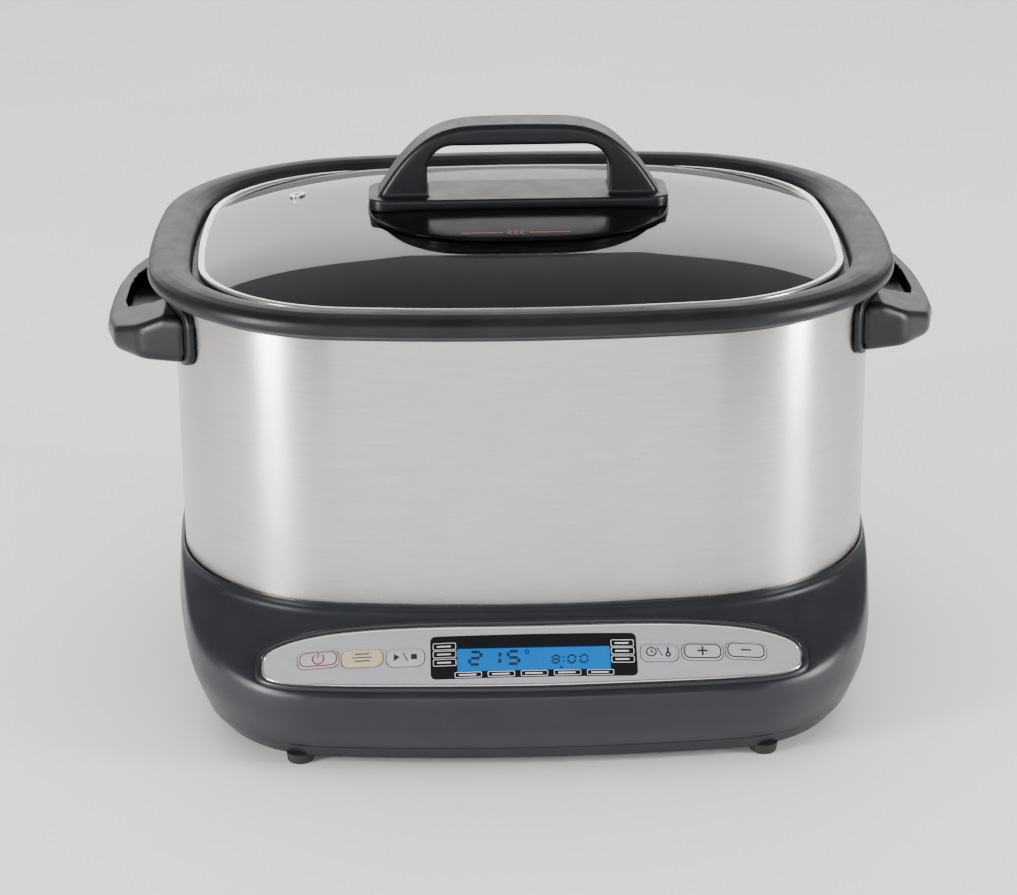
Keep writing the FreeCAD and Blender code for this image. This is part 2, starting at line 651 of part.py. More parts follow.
def make_posts():
    low = JACKET_BOTTOM + SHEET
    return group([fuse([cylinder(x, y, low, 69.0, 4.5), cylinder(x, y, 69.0, 69.6, 3.0),
                        cylinder(x, y, 69.6, PLATE_BOTTOM_Z, 4.5)]) for x, y in POST_AT])


def make_guide():
    low = JACKET_BOTTOM + SHEET
    tube_part = cylinder(0, 0, GUIDE_FLOOR, 77.0, GUIDE_R).cut(cylinder(0, 0, SPRING_LOW, 80, GUIDE_R - 1.6))
    flange = cylinder(0, 0, low, low + 1.4, 21.0).cut(cylinder(0, 0, low - 1, low + 3, GUIDE_R - 1.6))
    return fuse([tube_part, flange]).cut(cylinder(0, 0, 50, 60, 3.0))


def make_cap():
    body = cylinder(0, 0, 72.5, CAP_TOP, CAP_R)
    body = body.makeFillet(1.0, [e for e in body.Edges if e.BoundBox.ZMin > CAP_TOP - 0.01])
    return body.cut(cylinder(0, 0, 70, CAP_TOP - 1.2, CAP_R - 0.9))


def make_spring():
    wire_r = 0.6
    low = SPRING_LOW + wire_r + 0.05
    tall = CAP_TOP - 1.2 - wire_r - 0.05 - low
    helix = Part.makeHelix(tall / 5.0, tall, SPRING_R)
    start = helix.Edges[0].valueAt(helix.Edges[0].FirstParameter)
    tangent = helix.Edges[0].tangentAt(helix.Edges[0].FirstParameter)
    ring = Part.Wire([Part.makeCircle(wire_r, start, tangent)])
    spring = Part.Wire(helix.Edges).makePipeShell([ring], True, True)
    spring.translate(V(0, 0, low))
    return spring


def make_thermal_fuse():
    strap = box(44, -5, JACKET_BOTTOM - 1.0, 64, 5, JACKET_BOTTOM)
    can = Part.makeCylinder(2.2, 12.0, V(48, 0, JACKET_BOTTOM - 2.9), V(1, 0, 0))
    leads = Part.makeCylinder(0.5, 28.0, V(40, 0, JACKET_BOTTOM - 2.9), V(1, 0, 0))
    return fuse([strap, can, leads])


# ---------------------------------------------------------------- electronics and wiring
def make_power_board():
    x0, y0, wide, deep = POWER_BOARD
    return box(x0, y0, POWER_BOARD_Z, x0 + wide, y0 + deep, POWER_BOARD_Z + 1.6)


def on_board(x, y, wide, deep, high):
    z = POWER_BOARD_Z + 1.6
    return box(x, y, z, x + wide, y + deep, z + high)


def on_board_can(x, y, radius, high):
    z = POWER_BOARD_Z + 1.6
    return cylinder(x, y, z, z + high, radius)


def rounded_path(points, share=0.45):
    """Straight runs joined by tangent arcs."""
    edges = []
    start = points[0]
    for before, at, after in zip(points, points[1:], points[2:]):
        a = (before - at).normalize()
        b = (after - at).normalize()
        half = a.getAngle(b) / 2.0
        cut = share * min((before - at).Length, (after - at).Length)
        p = at + a * cut
        q = at + b * cut
        middle = (a + b).normalize()
        radius = cut * tan(half)
        centre = at + middle * (cut / cos(half))
        edges.append(Part.LineSegment(start, p).toShape())
        edges.append(Part.Arc(p, centre - middle * radius, q).toShape())
        start = q
    edges.append(Part.LineSegment(start, points[-1]).toShape())
    return Part.Wire(edges)


def wire_tube(points, radius):
    path = rounded_path(points)
    ring = Part.Wire([Part.makeCircle(radius, points[0], (points[1] - points[0]).normalize())])
    return path.makePipeShell([ring], True, False)


def make_mains_wires():
    back = WALL_SECTIONS[2][3] - 30.0
    wires = []
    for i, (x, z) in enumerate(PIN_AT):
        end_x = 22.0 + 8.0 * i
        over = V(end_x, 70.0, 46.0 + 3 * i)
        route = [V(x, back, z), V(x, back - 12, z), over, V(end_x, 70.0, 34.6)]
        wires.append(wire_tube(route, WIRE_R))
    return group(wires)


def make_heater_wires():
    wires = []
    for i, (x, y) in enumerate(LEG_AT):
        end = V(-36.0 + 8.0 * i, 62.0, 34.6)
        low = 44.0 + 5 * i
        route = [V(x, y, 50.0), V(x, y, low), V(end.x, end.y, low - 2), end]
        wires.append(wire_tube(route, WIRE_R))
    return group(wires)


def make_ribbon():
    """Flat cable from the back of the control board down to the power board."""
    centre = [(-147.0, 27.5), (-130.0, 16.0), (-60.0, 12.5), (-22.0, 16.0), (-14.0, 26.0), (-4.0, 28.0)]
    thick = 0.8
    lower = [V(-40, y, z) for y, z in centre]
    upper = [V(-40, y, z + thick) for y, z in reversed(centre)]
    face = Part.Face(Part.makePolygon(lower + upper + [lower[0]]))
    return face.extrude(V(14, 0, 0))


# ---------------------------------------------------------------- control panel pieces
def through(u, v, wide, high, corner):
    """Upright block that passes right through the panel's shell."""
    return slab(u, v, wide, high, corner, -REACH / 2, REACH / 2)


def make_fascia():
    body = skin(lens(0.0, -REACH / 2, REACH / 2), FASCIA_PROUD, FASCIA_DEEP)
    wide, high, corner = WINDOW
    body = body.cut(on_panel(through(WINDOW_U, 0, wide + 0.4, high + 0.4, corner + 0.2)))
    for u, v, wide in BUTTONS.values():
        hole = through(u, v, wide + 2 * BUTTON_GAP, BUTTON_HIGH + 2 * BUTTON_GAP, BUTTON_CORNER)
        body = body.cut(on_panel(hole))
    return body


def make_fascia_trim():
    ring = lens(0.3 + TRIM, -REACH / 2, REACH / 2)
    return skin(ring.cut(lens(0.3, -REACH, REACH)), 1.2, FASCIA_DEEP)


def make_window():
    frame = through(WINDOW_U, 0, *WINDOW).cut(slab(WINDOW_U, APERTURE_V, *APERTURE, -REACH, REACH))
    return skin(frame, 0.25, FASCIA_DEEP)


def make_lcd(wide, high, low, top):
    return on_panel(slab(WINDOW_U, APERTURE_V, wide, high, 0.5, low, top))


def make_control_board():
    low = BOARD_TOP - BOARD_THICK
    board = slab(0, 0, 236.0, 24.0, 2.0, low, BOARD_TOP)
    for u, v in BOARD_POSTS:
        board = board.cut(cylinder(u, v, low - 1, BOARD_TOP + 1, 1.3))
    return on_panel(board)


def make_board_screw(u, v):
    low = BOARD_TOP - BOARD_THICK
    head = cylinder(u, v, low - 1.6, low, 2.2)
    return fuse([head, cylinder(u, v, low - 0.1, BOARD_TOP + 3, 0.95)])


def make_switch(u, v):
    can = box(u - 3, v - 3, BOARD_TOP, u + 3, v + 3, BOARD_TOP + 3.1)
    return fuse([can, cylinder(u, v, BOARD_TOP + 3, SWITCH_TOP, 1.7)])


def make_button(u, v, wide):
    cap = skin(through(u, v, wide, BUTTON_HIGH, BUTTON_CORNER), 0.7, 0.9)
    cap_back = -(u ** 2) / (2 * PANEL_RADIUS) - 0.3
    return fuse([cap, on_panel(cylinder(u, v, STEM_END, cap_back, STEM_R))])


# ---------------------------------------------------------------- jacket and top ring
def make_jacket():
    body = tube(JACKET_BOTTOM, JACKET_TOP, 0.0, -SHEET)
    for y, start in HANDLE_SCREWS:
        hole = handle_screw_shank(y, start, 2.2)
        body = body.cut(hole).cut(mirrored(hole))
    return body


def make_top_ring():
    return fuse([
        tube(JACKET_TOP, POT_UNDER_RIM - 0.4, 0.9, LINER_OFFSET - 1.6),
        tube(JACKET_TOP - 5, JACKET_TOP + 0.1, -SHEET - 0.1, LINER_OFFSET + 0.1),
    ])


# ---------------------------------------------------------------- build everything
save(make_housing(), "base_housing")
save(make_pan(), "bottom_pan")
save(group([make_foot(x, y) for x, y in FOOT_AT]), "rubber_feet")
save(group([make_pan_screw(x, y) for x, y in SCREW_AT]), "pan_screws")
save(make_inlet(), "power_inlet")
save(make_inlet_pins(), "inlet_pins")

save(make_fascia(), "control_fascia")
save(make_fascia_trim(), "fascia_trim")
save(make_window(), "display_window")
save(make_lcd(APERTURE[0] - 0.4, APERTURE[1] - 0.4, -3.2, -0.9), "lcd_glass")
save(make_lcd(76.0, 15.0, -6.2, -3.2), "lcd_backlight")
save(make_control_board(), "control_board")
save(on_panel(box(-30, -7, BOARD_TOP, 30, -3, -6.2)), "lcd_connector")
save(on_panel(group([make_board_screw(u, v) for u, v in BOARD_POSTS])), "board_screws")
save(on_panel(group([make_switch(u, v) for u, v, _ in BUTTONS.values()])), "tact_switches")
for name, (u, v, wide) in BUTTONS.items():
    save(make_button(u, v, wide), "button_" + name)

save(make_jacket(), "steel_jacket")
save(make_liner(), "chamber_liner")
save(make_top_ring(), "top_ring")
left_handle = make_side_handle()
left_collar = make_collar()
left_screws = [make_handle_screw(y, start) for y, start in HANDLE_SCREWS]
save(left_handle, "side_handle_left")
save(mirrored(left_handle), "side_handle_right")
save(left_collar, "handle_collar_left")
save(mirrored(left_collar), "handle_collar_right")
save(group(left_screws + [mirrored(s) for s in left_screws]), "handle_screws")

save(make_heater_plate(), "heater_plate")
save(make_element(), "heating_element")
save(make_reflector(), "heat_reflector")
save(make_posts(), "plate_posts")
save(make_guide(), "sensor_guide")
save(make_cap(), "sensor_cap")
save(make_spring(), "sensor_spring")
save(make_thermal_fuse(), "thermal_fuse")

save(make_power_board(), "power_board")
save(on_board(-70, 24, 32, 28, 24), "mains_transformer")
save(on_board(-22, 36, 22, 16, 16), "power_relay")
save(group([on_board_can(x, 14, 6.0, 20) for x in (-60, -44)]), "filter_capacitors")
save(group([on_board(16, 62, 32, 10, 15), on_board(-42, 56, 18, 10, 15)]), "terminal_blocks")
save(make_mains_wires(), "mains_wires")
save(make_heater_wires(), "heater_wires")
save(make_ribbon(), "ribbon_cable")

save(make_pot(), "inner_pot")
save(make_glass(), "lid_glass")
save(make_ring(), "lid_ring")
save(make_vent(), "vent_eyelet")
save(make_plate(), "handle_plate")
save(make_lid_handle(), "lid_handle")
save(group([make_lid_screw(s) for s in (-1, 1)]), "lid_screws")
save(group([make_lid_washer(s) for s in (-1, 1)]), "lid_washers")
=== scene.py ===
"""Looks of the slow cooker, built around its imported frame.

Plan outlines are worked in millimetres about the pot's vertical axis and written in metres in the
object's own frame: +X right, +Y back, +Z up.
"""
import json
import math

import bmesh
import bpy
import numpy as np
from mathutils import Matrix, Vector

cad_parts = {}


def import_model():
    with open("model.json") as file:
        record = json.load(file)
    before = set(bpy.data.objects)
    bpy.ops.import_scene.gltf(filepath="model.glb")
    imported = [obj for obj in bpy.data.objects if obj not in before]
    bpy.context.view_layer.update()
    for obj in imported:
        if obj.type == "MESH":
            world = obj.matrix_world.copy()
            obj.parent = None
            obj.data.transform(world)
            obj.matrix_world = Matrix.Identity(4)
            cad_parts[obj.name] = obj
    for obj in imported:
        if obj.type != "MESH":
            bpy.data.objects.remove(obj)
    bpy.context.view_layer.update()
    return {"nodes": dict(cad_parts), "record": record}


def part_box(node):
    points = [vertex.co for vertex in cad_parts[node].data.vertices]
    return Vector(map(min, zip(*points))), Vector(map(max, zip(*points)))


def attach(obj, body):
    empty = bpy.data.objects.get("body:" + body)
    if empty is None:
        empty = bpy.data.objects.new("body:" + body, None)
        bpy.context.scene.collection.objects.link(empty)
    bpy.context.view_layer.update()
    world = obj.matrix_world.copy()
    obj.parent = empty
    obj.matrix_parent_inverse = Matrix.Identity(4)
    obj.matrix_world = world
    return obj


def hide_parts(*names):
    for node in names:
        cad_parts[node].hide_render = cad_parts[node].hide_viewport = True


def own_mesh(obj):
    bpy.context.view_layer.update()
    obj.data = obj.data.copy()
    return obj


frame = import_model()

MM = 0.001
NODES = frame["nodes"]

# ---------------------------------------------------------------- driving sizes, in millimetres
JACKET_LOW, JACKET_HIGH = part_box("steel_jacket")
POT_Y = (JACKET_LOW.y + JACKET_HIGH.y) / 2 / MM
HALF_X = JACKET_HIGH.x / MM
HALF_Y = (JACKET_HIGH.y - JACKET_LOW.y) / 2 / MM
CORNER = 97.0
BOW_Y = 692.0
BOW_X = 647.0
ARC_STEPS = 48                # mesh steps along each of an outline's arcs
CIRCLE_STEPS = 28

LIP_Z = 74.0
LIP_OUT = 1.5
DECK_SLOPE = math.radians(36.0)
SEAM_Z = 12.0
WALL_SECTIONS = (             # height, half width, front, back, front corner
    (12.0, 169.5, 174.0, 140.0, 66.0),
    (22.0, 173.5, 181.0, 144.0, 71.0),
    (34.0, 178.0, 185.5, 146.5, 77.0),
    (48.0, 179.3, 187.8, 148.0, 85.0),
    (76.0, 177.3, 188.5, 148.2, 100.0),
)
WALL_TOP = WALL_SECTIONS[-1][0]
WALL_BOW_FRONT = 900.0
WALL_BOW_SIDE = 660.0

PANEL_OUT = 22.2              # middle of the control panel, outwards from the lip
PANEL_RADIUS = 1217.0
PANEL_Y = -(HALF_Y + LIP_OUT + PANEL_OUT)
PANEL_Z = LIP_Z - PANEL_OUT * math.tan(DECK_SLOPE)
FASCIA_U = 130.0
FASCIA_V = 16.4
FASCIA_POWER = 3.3
FASCIA_LIFT = 2.1             # how much higher the fascia's ends are than its middle
FASCIA_LIFT_U = 60.0
POCKET = 1.75
WINDOW_U = 0.5
WINDOW_RISE = 0.25            # face of the window's frame, above the deck
LABEL_U = 42.6                # side labels, outwards from the window's middle
LABEL_ROW_V = -9.7            # the row of labels under the display
LCD_W = -0.9                  # front of the display, behind the panel's face
BUTTON_HIGH = 9.4
BUTTON_CORNER = 3.8
BUTTON_BORDER = 1.0           # printed outline, inwards from a button's edge
BUTTONS = {                   # place along the panel, place up the panel, width
    "power": (-102.6, 2.4, 19.6),
    "menu": (-81.5, 1.5, 19.6),
    "start": (-60.8, 0.7, 18.0),
    "timer": (60.8, 0.7, 18.0),
    "plus": (81.5, 1.5, 19.6),
    "minus": (102.6, 2.4, 19.6),
}


# ---------------------------------------------------------------- outlines
def arc(centre, radius, start, end, steps):
    """Points along the short way round a circle, without the last."""
    a0 = math.atan2(start[1] - centre[1], start[0] - centre[0])
    a1 = math.atan2(end[1] - centre[1], end[0] - centre[0])
    turn = (a1 - a0 + math.pi) % (2 * math.pi) - math.pi
    angles = a0 + turn * np.arange(steps) / steps
    return np.stack([centre[0] + radius * np.cos(angles), centre[1] + radius * np.sin(angles)], 1)


def corner_circle(flat, flat_r, side, side_r, corner_r, up):
    """Centre of a corner circle inside two larger ones, and where it touches each."""
    ra = flat_r - corner_r
    rb = side_r - corner_r
    flat = np.array(flat)
    side = np.array(side)
    gap = np.linalg.norm(side - flat)
    along = (ra * ra - rb * rb + gap * gap) / (2 * gap)
    off = math.sqrt(ra * ra - along * along)
    u = (side - flat) / gap
    across = np.array([-u[1], u[0]])
    centre = max((flat + along * u + s * off * across for s in (1, -1)), key=lambda p: p[0] + up * p[1])
    return centre, flat + (centre - flat) / ra * flat_r, side + (centre - side) / rb * side_r


def plan(half_x, front, back, corner_front, corner_back, bow_front, bow_back, bow_side):
    """Closed outline of tangent arcs, anticlockwise from the middle of the front."""
    fc = (0.0, bow_front - front)
    bc = (0.0, back - bow_back)
    sc = (half_x - bow_side, 0.0)
    cf, f1, f2 = corner_circle(fc, bow_front, sc, bow_side, corner_front, -1)
    cb, b1, b2 = corner_circle(bc, bow_back, sc, bow_side, corner_back, 1)
    half = np.concatenate([
        arc(fc, bow_front, (0.0, -front), f1, ARC_STEPS),
        arc(cf, corner_front, f1, f2, ARC_STEPS),
        arc(sc, bow_side, f2, b2, ARC_STEPS),
        arc(cb, corner_back, b2, b1, ARC_STEPS),
        arc(bc, bow_back, b1, (0.0, back), ARC_STEPS),
        [(0.0, back)],
    ])
    other = half[1:-1][::-1] * [-1, 1]
    return np.concatenate([half, other])


def jacket_plan(offset):
    """The steel jacket's outline, grown outwards by offset."""
    depth = HALF_Y + offset
    corner = CORNER + offset
    return plan(HALF_X + offset, depth, depth, corner, corner, BOW_Y + offset, BOW_Y + offset, BOW_X + offset)


def wall_plan(z):
    """Outline of the base's outer wall at one height."""
    rows = np.array(WALL_SECTIONS)
    half_x, front, back, corner = (np.interp(z, rows[:, 0], rows[:, k]) for k in range(1, 5))
    return plan(half_x, front, back, corner, CORNER, WALL_BOW_FRONT, BOW_Y, WALL_BOW_SIDE)


def at(points, z):
    """Plan points in millimetres about the pot axis, as object-frame points in metres."""
    z = np.broadcast_to(np.asarray(z, float), (len(points),))
    return np.stack([points[:, 0], points[:, 1] + POT_Y, z], 1) * MM


# ---------------------------------------------------------------- meshes
def add_mesh(name, verts, faces, material, body, replaces=(), smooth=True):
    """New piece from points in metres and faces."""
    mesh = bpy.data.meshes.new(name)
    mesh.from_pydata([tuple(v) for v in verts], [], [tuple(f) for f in faces])
    mesh.validate()
    mesh.polygons.foreach_set("use_smooth", [smooth] * len(mesh.polygons))
    obj = bpy.data.objects.new(name, mesh)
    bpy.context.scene.collection.objects.link(obj)
    return dress(obj, material, body, replaces)


def dress(obj, material, body, replaces=()):
    """Give a piece its material, its body and the CAD nodes it stands for."""
    obj.data.materials.clear()
    obj.data.materials.append(material)
    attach(obj, body)
    if replaces:
        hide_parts(*replaces)
    return obj


def tidy_normals(obj):
    """Turn a closed mesh's faces to point outwards."""
    bm = bmesh.new()
    bm.from_mesh(obj.data)
    bmesh.ops.recalc_face_normals(bm, faces=bm.faces)
    bm.to_mesh(obj.data)
    bm.free()


def rings_mesh(rings, closed_profile=False, caps=False):
    """Vertices and faces of a skin through rings that all have the same number of points."""
    n = len(rings[0])
    verts = np.concatenate(rings)
    faces = []
    last = len(rings) if closed_profile else len(rings) - 1
    for r in range(last):
        a = r * n
        b = ((r + 1) % len(rings)) * n
        for i in range(n):
            j = (i + 1) % n
            faces.append((a + i, a + j, b + j, b + i))
    if caps:
        for r, flip in ((0, True), (len(rings) - 1, False)):
            centre = len(verts)
            verts = np.concatenate([verts, [rings[r].mean(0)]])
            for i in range(n):
                a = r * n + i
                b = r * n + (i + 1) % n
                faces.append((b, a, centre) if flip else (a, b, centre))
    return verts, faces


def loft(name, rings, material, body, replaces=(), closed_profile=False, caps=False):
    """Closed piece whose skin runs through rings of points."""
    verts, faces = rings_mesh(rings, closed_profile, caps)
    obj = add_mesh(name, verts, faces, material, body, replaces)
    tidy_normals(obj)
    return obj


def rounded(points, radius, steps=5):
    """Closed polyline of (offset, height) points, its corners rounded by one radius or a list of them."""
    points = [np.array(p[:2], float) for p in points]
    radii = radius if hasattr(radius, "__len__") else [radius] * len(points)
    out = []
    n = len(points)
    for i, p in enumerate(points):
        a = points[i - 1] - p
        b = points[(i + 1) % n] - p
        la = np.linalg.norm(a)
        lb = np.linalg.norm(b)
        a = a / la
        b = b / lb
        half = math.acos(max(-1, min(1, float(a @ b)))) / 2
        if half > 1.5 or radii[i] <= 0:
            out.append(p)
            continue
        cut = min(radii[i] / math.tan(half), 0.45 * la, 0.45 * lb)
        r = cut * math.tan(half)
        middle = (a + b) / np.linalg.norm(a + b)
        centre = p + middle * (r / math.sin(half))
        start = p + a * cut - centre
        end = p + b * cut - centre
        turn = math.atan2(start[0] * end[1] - start[1] * end[0], float(start @ end))
        for k in range(steps + 1):
            t = turn * k / steps
            c = math.cos(t)
            s = math.sin(t)
            out.append(centre + np.array([c * start[0] - s * start[1], s * start[0] + c * start[1]]))
    return out


def ring_body(name, profile, material, body, replaces=()):
    """Closed ring whose section is a loop of (offset from the jacket outline, height)."""
    rings = [at(jacket_plan(d), z) for d, z in profile]
    return loft(name, rings, material, body, replaces, closed_profile=True)


def soft_copy(name, node, material, body, voxel=0.9, rounds=8):
    """A CAD solid with its hard edges eased, as a moulding's are."""
    source = NODES[node]
    work = bpy.data.objects.new(name, source.data.copy())
    bpy.context.scene.collection.objects.link(work)
    remesh = work.modifiers.new("remesh", "REMESH")
    remesh.mode = "VOXEL"
    remesh.voxel_size = voxel * MM
    ease = work.modifiers.new("ease", "SMOOTH")
    ease.factor = 0.5
    ease.iterations = rounds
    bpy.context.view_layer.update()
    made = bpy.data.meshes.new_from_object(work.evaluated_get(bpy.context.evaluated_depsgraph_get()))
    work.modifiers.clear()
    work.data = made
    made.polygons.foreach_set("use_smooth", [True] * len(made.polygons))
    return dress(work, material, body, (node,))


# ---------------------------------------------------------------- materials
class Nodes:
    """Small helper for building one node material."""

    def __init__(self, name):
        self.material = bpy.data.materials.new(name)
        self.material.use_nodes = True
        self.tree = self.material.node_tree
        self.shader = self.tree.nodes["Principled BSDF"]
        self.place = self.tree.nodes.new("ShaderNodeTexCoord").outputs["Object"]

    def node(self, kind, **values):
        made = self.tree.nodes.new(kind)
        for key, value in values.items():
            setattr(made, key, value)
        return made

    def link(self, a, b):
        self.tree.links.new(a, b)

    def set(self, **values):
        for key, value in values.items():
            self.shader.inputs[key.replace("_", " ")].default_value = value

    def stretched(self, x, y, z):
        mapping = self.node("ShaderNodeMapping")
        mapping.inputs["Scale"].default_value = (x, y, z)
        self.link(self.place, mapping.inputs["Vector"])
        return mapping.outputs["Vector"]

    def noise(self, scale, detail=4.0, vector=None):
        made = self.node("ShaderNodeTexNoise")
        made.inputs["Scale"].default_value = scale
        made.inputs["Detail"].default_value = detail
        self.link(vector or self.place, made.inputs["Vector"])
        return made.outputs["Fac"]

    def ramp(self, fac, *stops):
        """Colours along a factor: (place, colour), a bare number standing for a grey."""
        made = self.node("ShaderNodeValToRGB")
        elements = made.color_ramp.elements
        while len(elements) < len(stops):
            elements.new(0.5)
        for element, (place, colour) in zip(elements, stops):
            element.position = place
            if not hasattr(colour, "__len__"):
                colour = (colour,) * 3
            element.color = tuple(colour[:3]) + (1.0,)
        self.link(fac, made.inputs["Fac"])
        return made.outputs["Color"]

    def bump(self, height, depth):
        made = self.node("ShaderNodeBump")
        made.inputs["Distance"].default_value = depth * MM
        made.inputs["Strength"].default_value = 1.0
        self.link(height, made.inputs["Height"])
        self.link(made.outputs["Normal"], self.shader.inputs["Normal"])


def shade(colour, factor):
    """A colour made darker or lighter."""
    return tuple(min(1.0, c * factor) for c in colour[:3])


def plastic(name, colour, roughness=0.42, grain=0.02, grain_scale=2600.0, spread=0.12, coat=0.0,
            shine=0.5):
    """Moulded plastic: fine spark-eroded texture, faint flow mottling and uneven polish."""
    n = Nodes(name)
    flow = n.noise(38.0, 3.0)
    n.link(n.ramp(flow, (0.35, shade(colour, 1 - spread)), (0.68, shade(colour, 1 + spread))),
           n.shader.inputs["Base Color"])
    polish = n.noise(90.0, 5.0)
    n.link(n.ramp(polish, (0.3, roughness - 0.04), (0.7, roughness + 0.05)), n.shader.inputs["Roughness"])
    n.bump(n.noise(grain_scale, 2.0), grain)
    n.set(Specular_IOR_Level=shine, Coat_Weight=coat, Coat_Roughness=0.2)
    return n.material


def metal(name, colour, roughness=0.3, brush=None, depth=0.004, spread=0.06, anisotropic=0.0,
          metallic=1.0):
    """Sheet or turned metal: a brushed grain stretched along one direction and a few dull patches."""
    n = Nodes(name)
    vector = n.stretched(*brush) if brush else None
    grain = n.noise(900.0 if brush else 700.0, 3.0, vector)
    n.link(n.ramp(grain, (0.3, shade(colour, 1 - spread)), (0.7, shade(colour, 1 + spread))),
           n.shader.inputs["Base Color"])
    patch = n.noise(24.0, 4.0)
    n.link(n.ramp(patch, (0.3, roughness - 0.03), (0.72, roughness + 0.05)), n.shader.inputs["Roughness"])
    n.bump(grain, depth)
    n.set(Metallic=metallic)
    if anisotropic:
        tangent = n.node("ShaderNodeTangent", direction_type="RADIAL", axis="Z")
        n.link(tangent.outputs["Tangent"], n.shader.inputs["Tangent"])
        n.set(Anisotropic=anisotropic, Anisotropic_Rotation=0.25)
    return n.material


AROUND = (0.05, 0.05, 1.0)    # grain that runs round the body
M = {
    "charcoal_plastic": plastic("charcoal_plastic", (0.009, 0.010, 0.0125), 0.36, shine=0.42),
    "handle_black": plastic("handle_black", (0.004, 0.0048, 0.0062), 0.36, shine=0.3),
    "black_plastic": plastic("black_plastic", (0.014, 0.014, 0.016), 0.5),
    "gloss_black": plastic("gloss_black", (0.004, 0.004, 0.005), 0.08, grain=0.002, shine=0.4),
    "fascia_silver": metal("fascia_silver", (0.39, 0.39, 0.41), 0.34, (0.04, 1.0, 1.0), metallic=0.45),
    "button_silver": metal("button_silver", (0.41, 0.41, 0.43), 0.36, (0.04, 1.0, 1.0), metallic=0.4),
    "white_plastic": plastic("white_plastic", (0.75, 0.75, 0.73), 0.4),
    "rubber_black": plastic("rubber_black", (0.012, 0.012, 0.013), 0.72, grain=0.05, grain_scale=1500),
    "screw_steel": metal("screw_steel", (0.62, 0.61, 0.58), 0.26),
    "pin_brass": metal("pin_brass", (0.72, 0.62, 0.42), 0.25),
    "brushed_steel": metal("brushed_steel", (0.585, 0.563, 0.538), 0.27, AROUND, 0.004, 0.05, 0.8),
    "liner_steel": metal("liner_steel", (0.52, 0.52, 0.50), 0.42, AROUND, 0.01, 0.1),
    "ring_steel": metal("ring_steel", (0.88, 0.87, 0.84), 0.2, AROUND, 0.002),
    "heater_aluminium": metal("heater_aluminium", (0.60, 0.60, 0.60), 0.48, None, 0.03, 0.12),
    "element_steel": metal("element_steel", (0.22, 0.20, 0.19), 0.5, None, 0.01, 0.3),
    "steatite": plastic("steatite", (0.72, 0.69, 0.62), 0.7, grain=0.05, grain_scale=900),
    "spring_steel": metal("spring_steel", (0.5, 0.5, 0.5), 0.25),
    "pcb_green": plastic("pcb_green", (0.015, 0.11, 0.045), 0.35, grain=0.03, grain_scale=700, spread=0.3),
    "component_black": plastic("component_black", (0.012, 0.012, 0.014), 0.45),
    "component_blue": plastic("component_blue", (0.02, 0.05, 0.24), 0.3, coat=0.3),
    "wire_insulation": plastic("wire_insulation", (0.32, 0.10, 0.03), 0.5),
    "ribbon_grey": plastic("ribbon_grey", (0.36, 0.36, 0.38), 0.5),
    "silicone": plastic("silicone", (0.6, 0.6, 0.58), 0.6),
    "button_gold": metal("button_gold", (0.47, 0.43, 0.32), 0.36, (0.04, 1.0, 1.0), metallic=0.4),
    "ink_red": plastic("ink_red", (0.15, 0.006, 0.01), 0.4, grain=0.004),
    "ink_amber": plastic("ink_amber", (0.48, 0.37, 0.02), 0.4, grain=0.004),
    "ink_green": plastic("ink_green", (0.16, 0.26, 0.16), 0.4, grain=0.004),
    "ink_dark": plastic("ink_dark", (0.012, 0.013, 0.02), 0.35, grain=0.004),
    "ink_pale": plastic("ink_pale", (0.5, 0.5, 0.52), 0.4, grain=0.004),
    "nonstick": plastic("nonstick", (0.006, 0.006, 0.007), 0.40, shine=0.32, grain=0.06, grain_scale=1200,
                        spread=0.35),
}


def glass_material():
    """Clear tempered glass with a faint wipe haze."""
    n = Nodes("lid_glass")
    haze = n.noise(30.0, 5.0)
    n.link(n.ramp(haze, (0.35, 0.015), (0.75, 0.06)), n.shader.inputs["Roughness"])
    n.link(n.ramp(n.noise(12.0), (0.3, (0.93, 0.95, 0.94)), (0.7, (0.97, 0.98, 0.98))),
           n.shader.inputs["Base Color"])
    n.set(Transmission_Weight=1.0, IOR=1.52, Specular_IOR_Level=0.5)
    return n.material


def display_material():
    """Back-lit display whose glow is faintly uneven."""
    n = Nodes("lcd_blue")
    glow = n.ramp(n.noise(20.0, 2.0), (0.3, (0.0, 0.22, 0.80)), (0.7, (0.0, 0.25, 0.88)))
    n.link(glow, n.shader.inputs["Emission Color"])
    n.set(Base_Color=(0.0, 0.015, 0.05, 1.0), Emission_Strength=0.8, Roughness=0.3, Specular_IOR_Level=0.1)
    return n.material


def plate_material():
    """Black plate, matte over its front where the heat marks are, a little glossier behind."""
    n = Nodes("plate_black")
    n.link(n.ramp(n.noise(45.0), (0.35, 0.0025), (0.7, 0.0045)), n.shader.inputs["Base Color"])
    n.link(n.ramp(n.noise(80.0, 5.0), (0.3, 0.12), (0.7, 0.2)), n.shader.inputs["Roughness"])
    split = n.node("ShaderNodeSeparateXYZ")
    n.link(n.place, split.inputs["Vector"])
    across = n.node("ShaderNodeMapRange")
    for socket, value in (("From Min", 0.004), ("From Max", 0.018), ("To Min", 0.02), ("To Max", 0.16)):
        across.inputs[socket].default_value = value
    n.link(split.outputs["Y"], across.inputs["Value"])
    n.link(across.outputs["Result"], n.shader.inputs["Specular IOR Level"])
    return n.material


M["lid_glass"] = glass_material()
M["plate_black"] = plate_material()
M["lcd_blue"] = display_material()

for part in frame["record"]["subparts"]:
    node = NODES[part["node"]]
    slot_name = part["material_slot"]
    node.data.materials.clear()
    node.data.materials.append(M[slot_name])


# ---------------------------------------------------------------- control panel frame
LIP = jacket_plan(LIP_OUT)


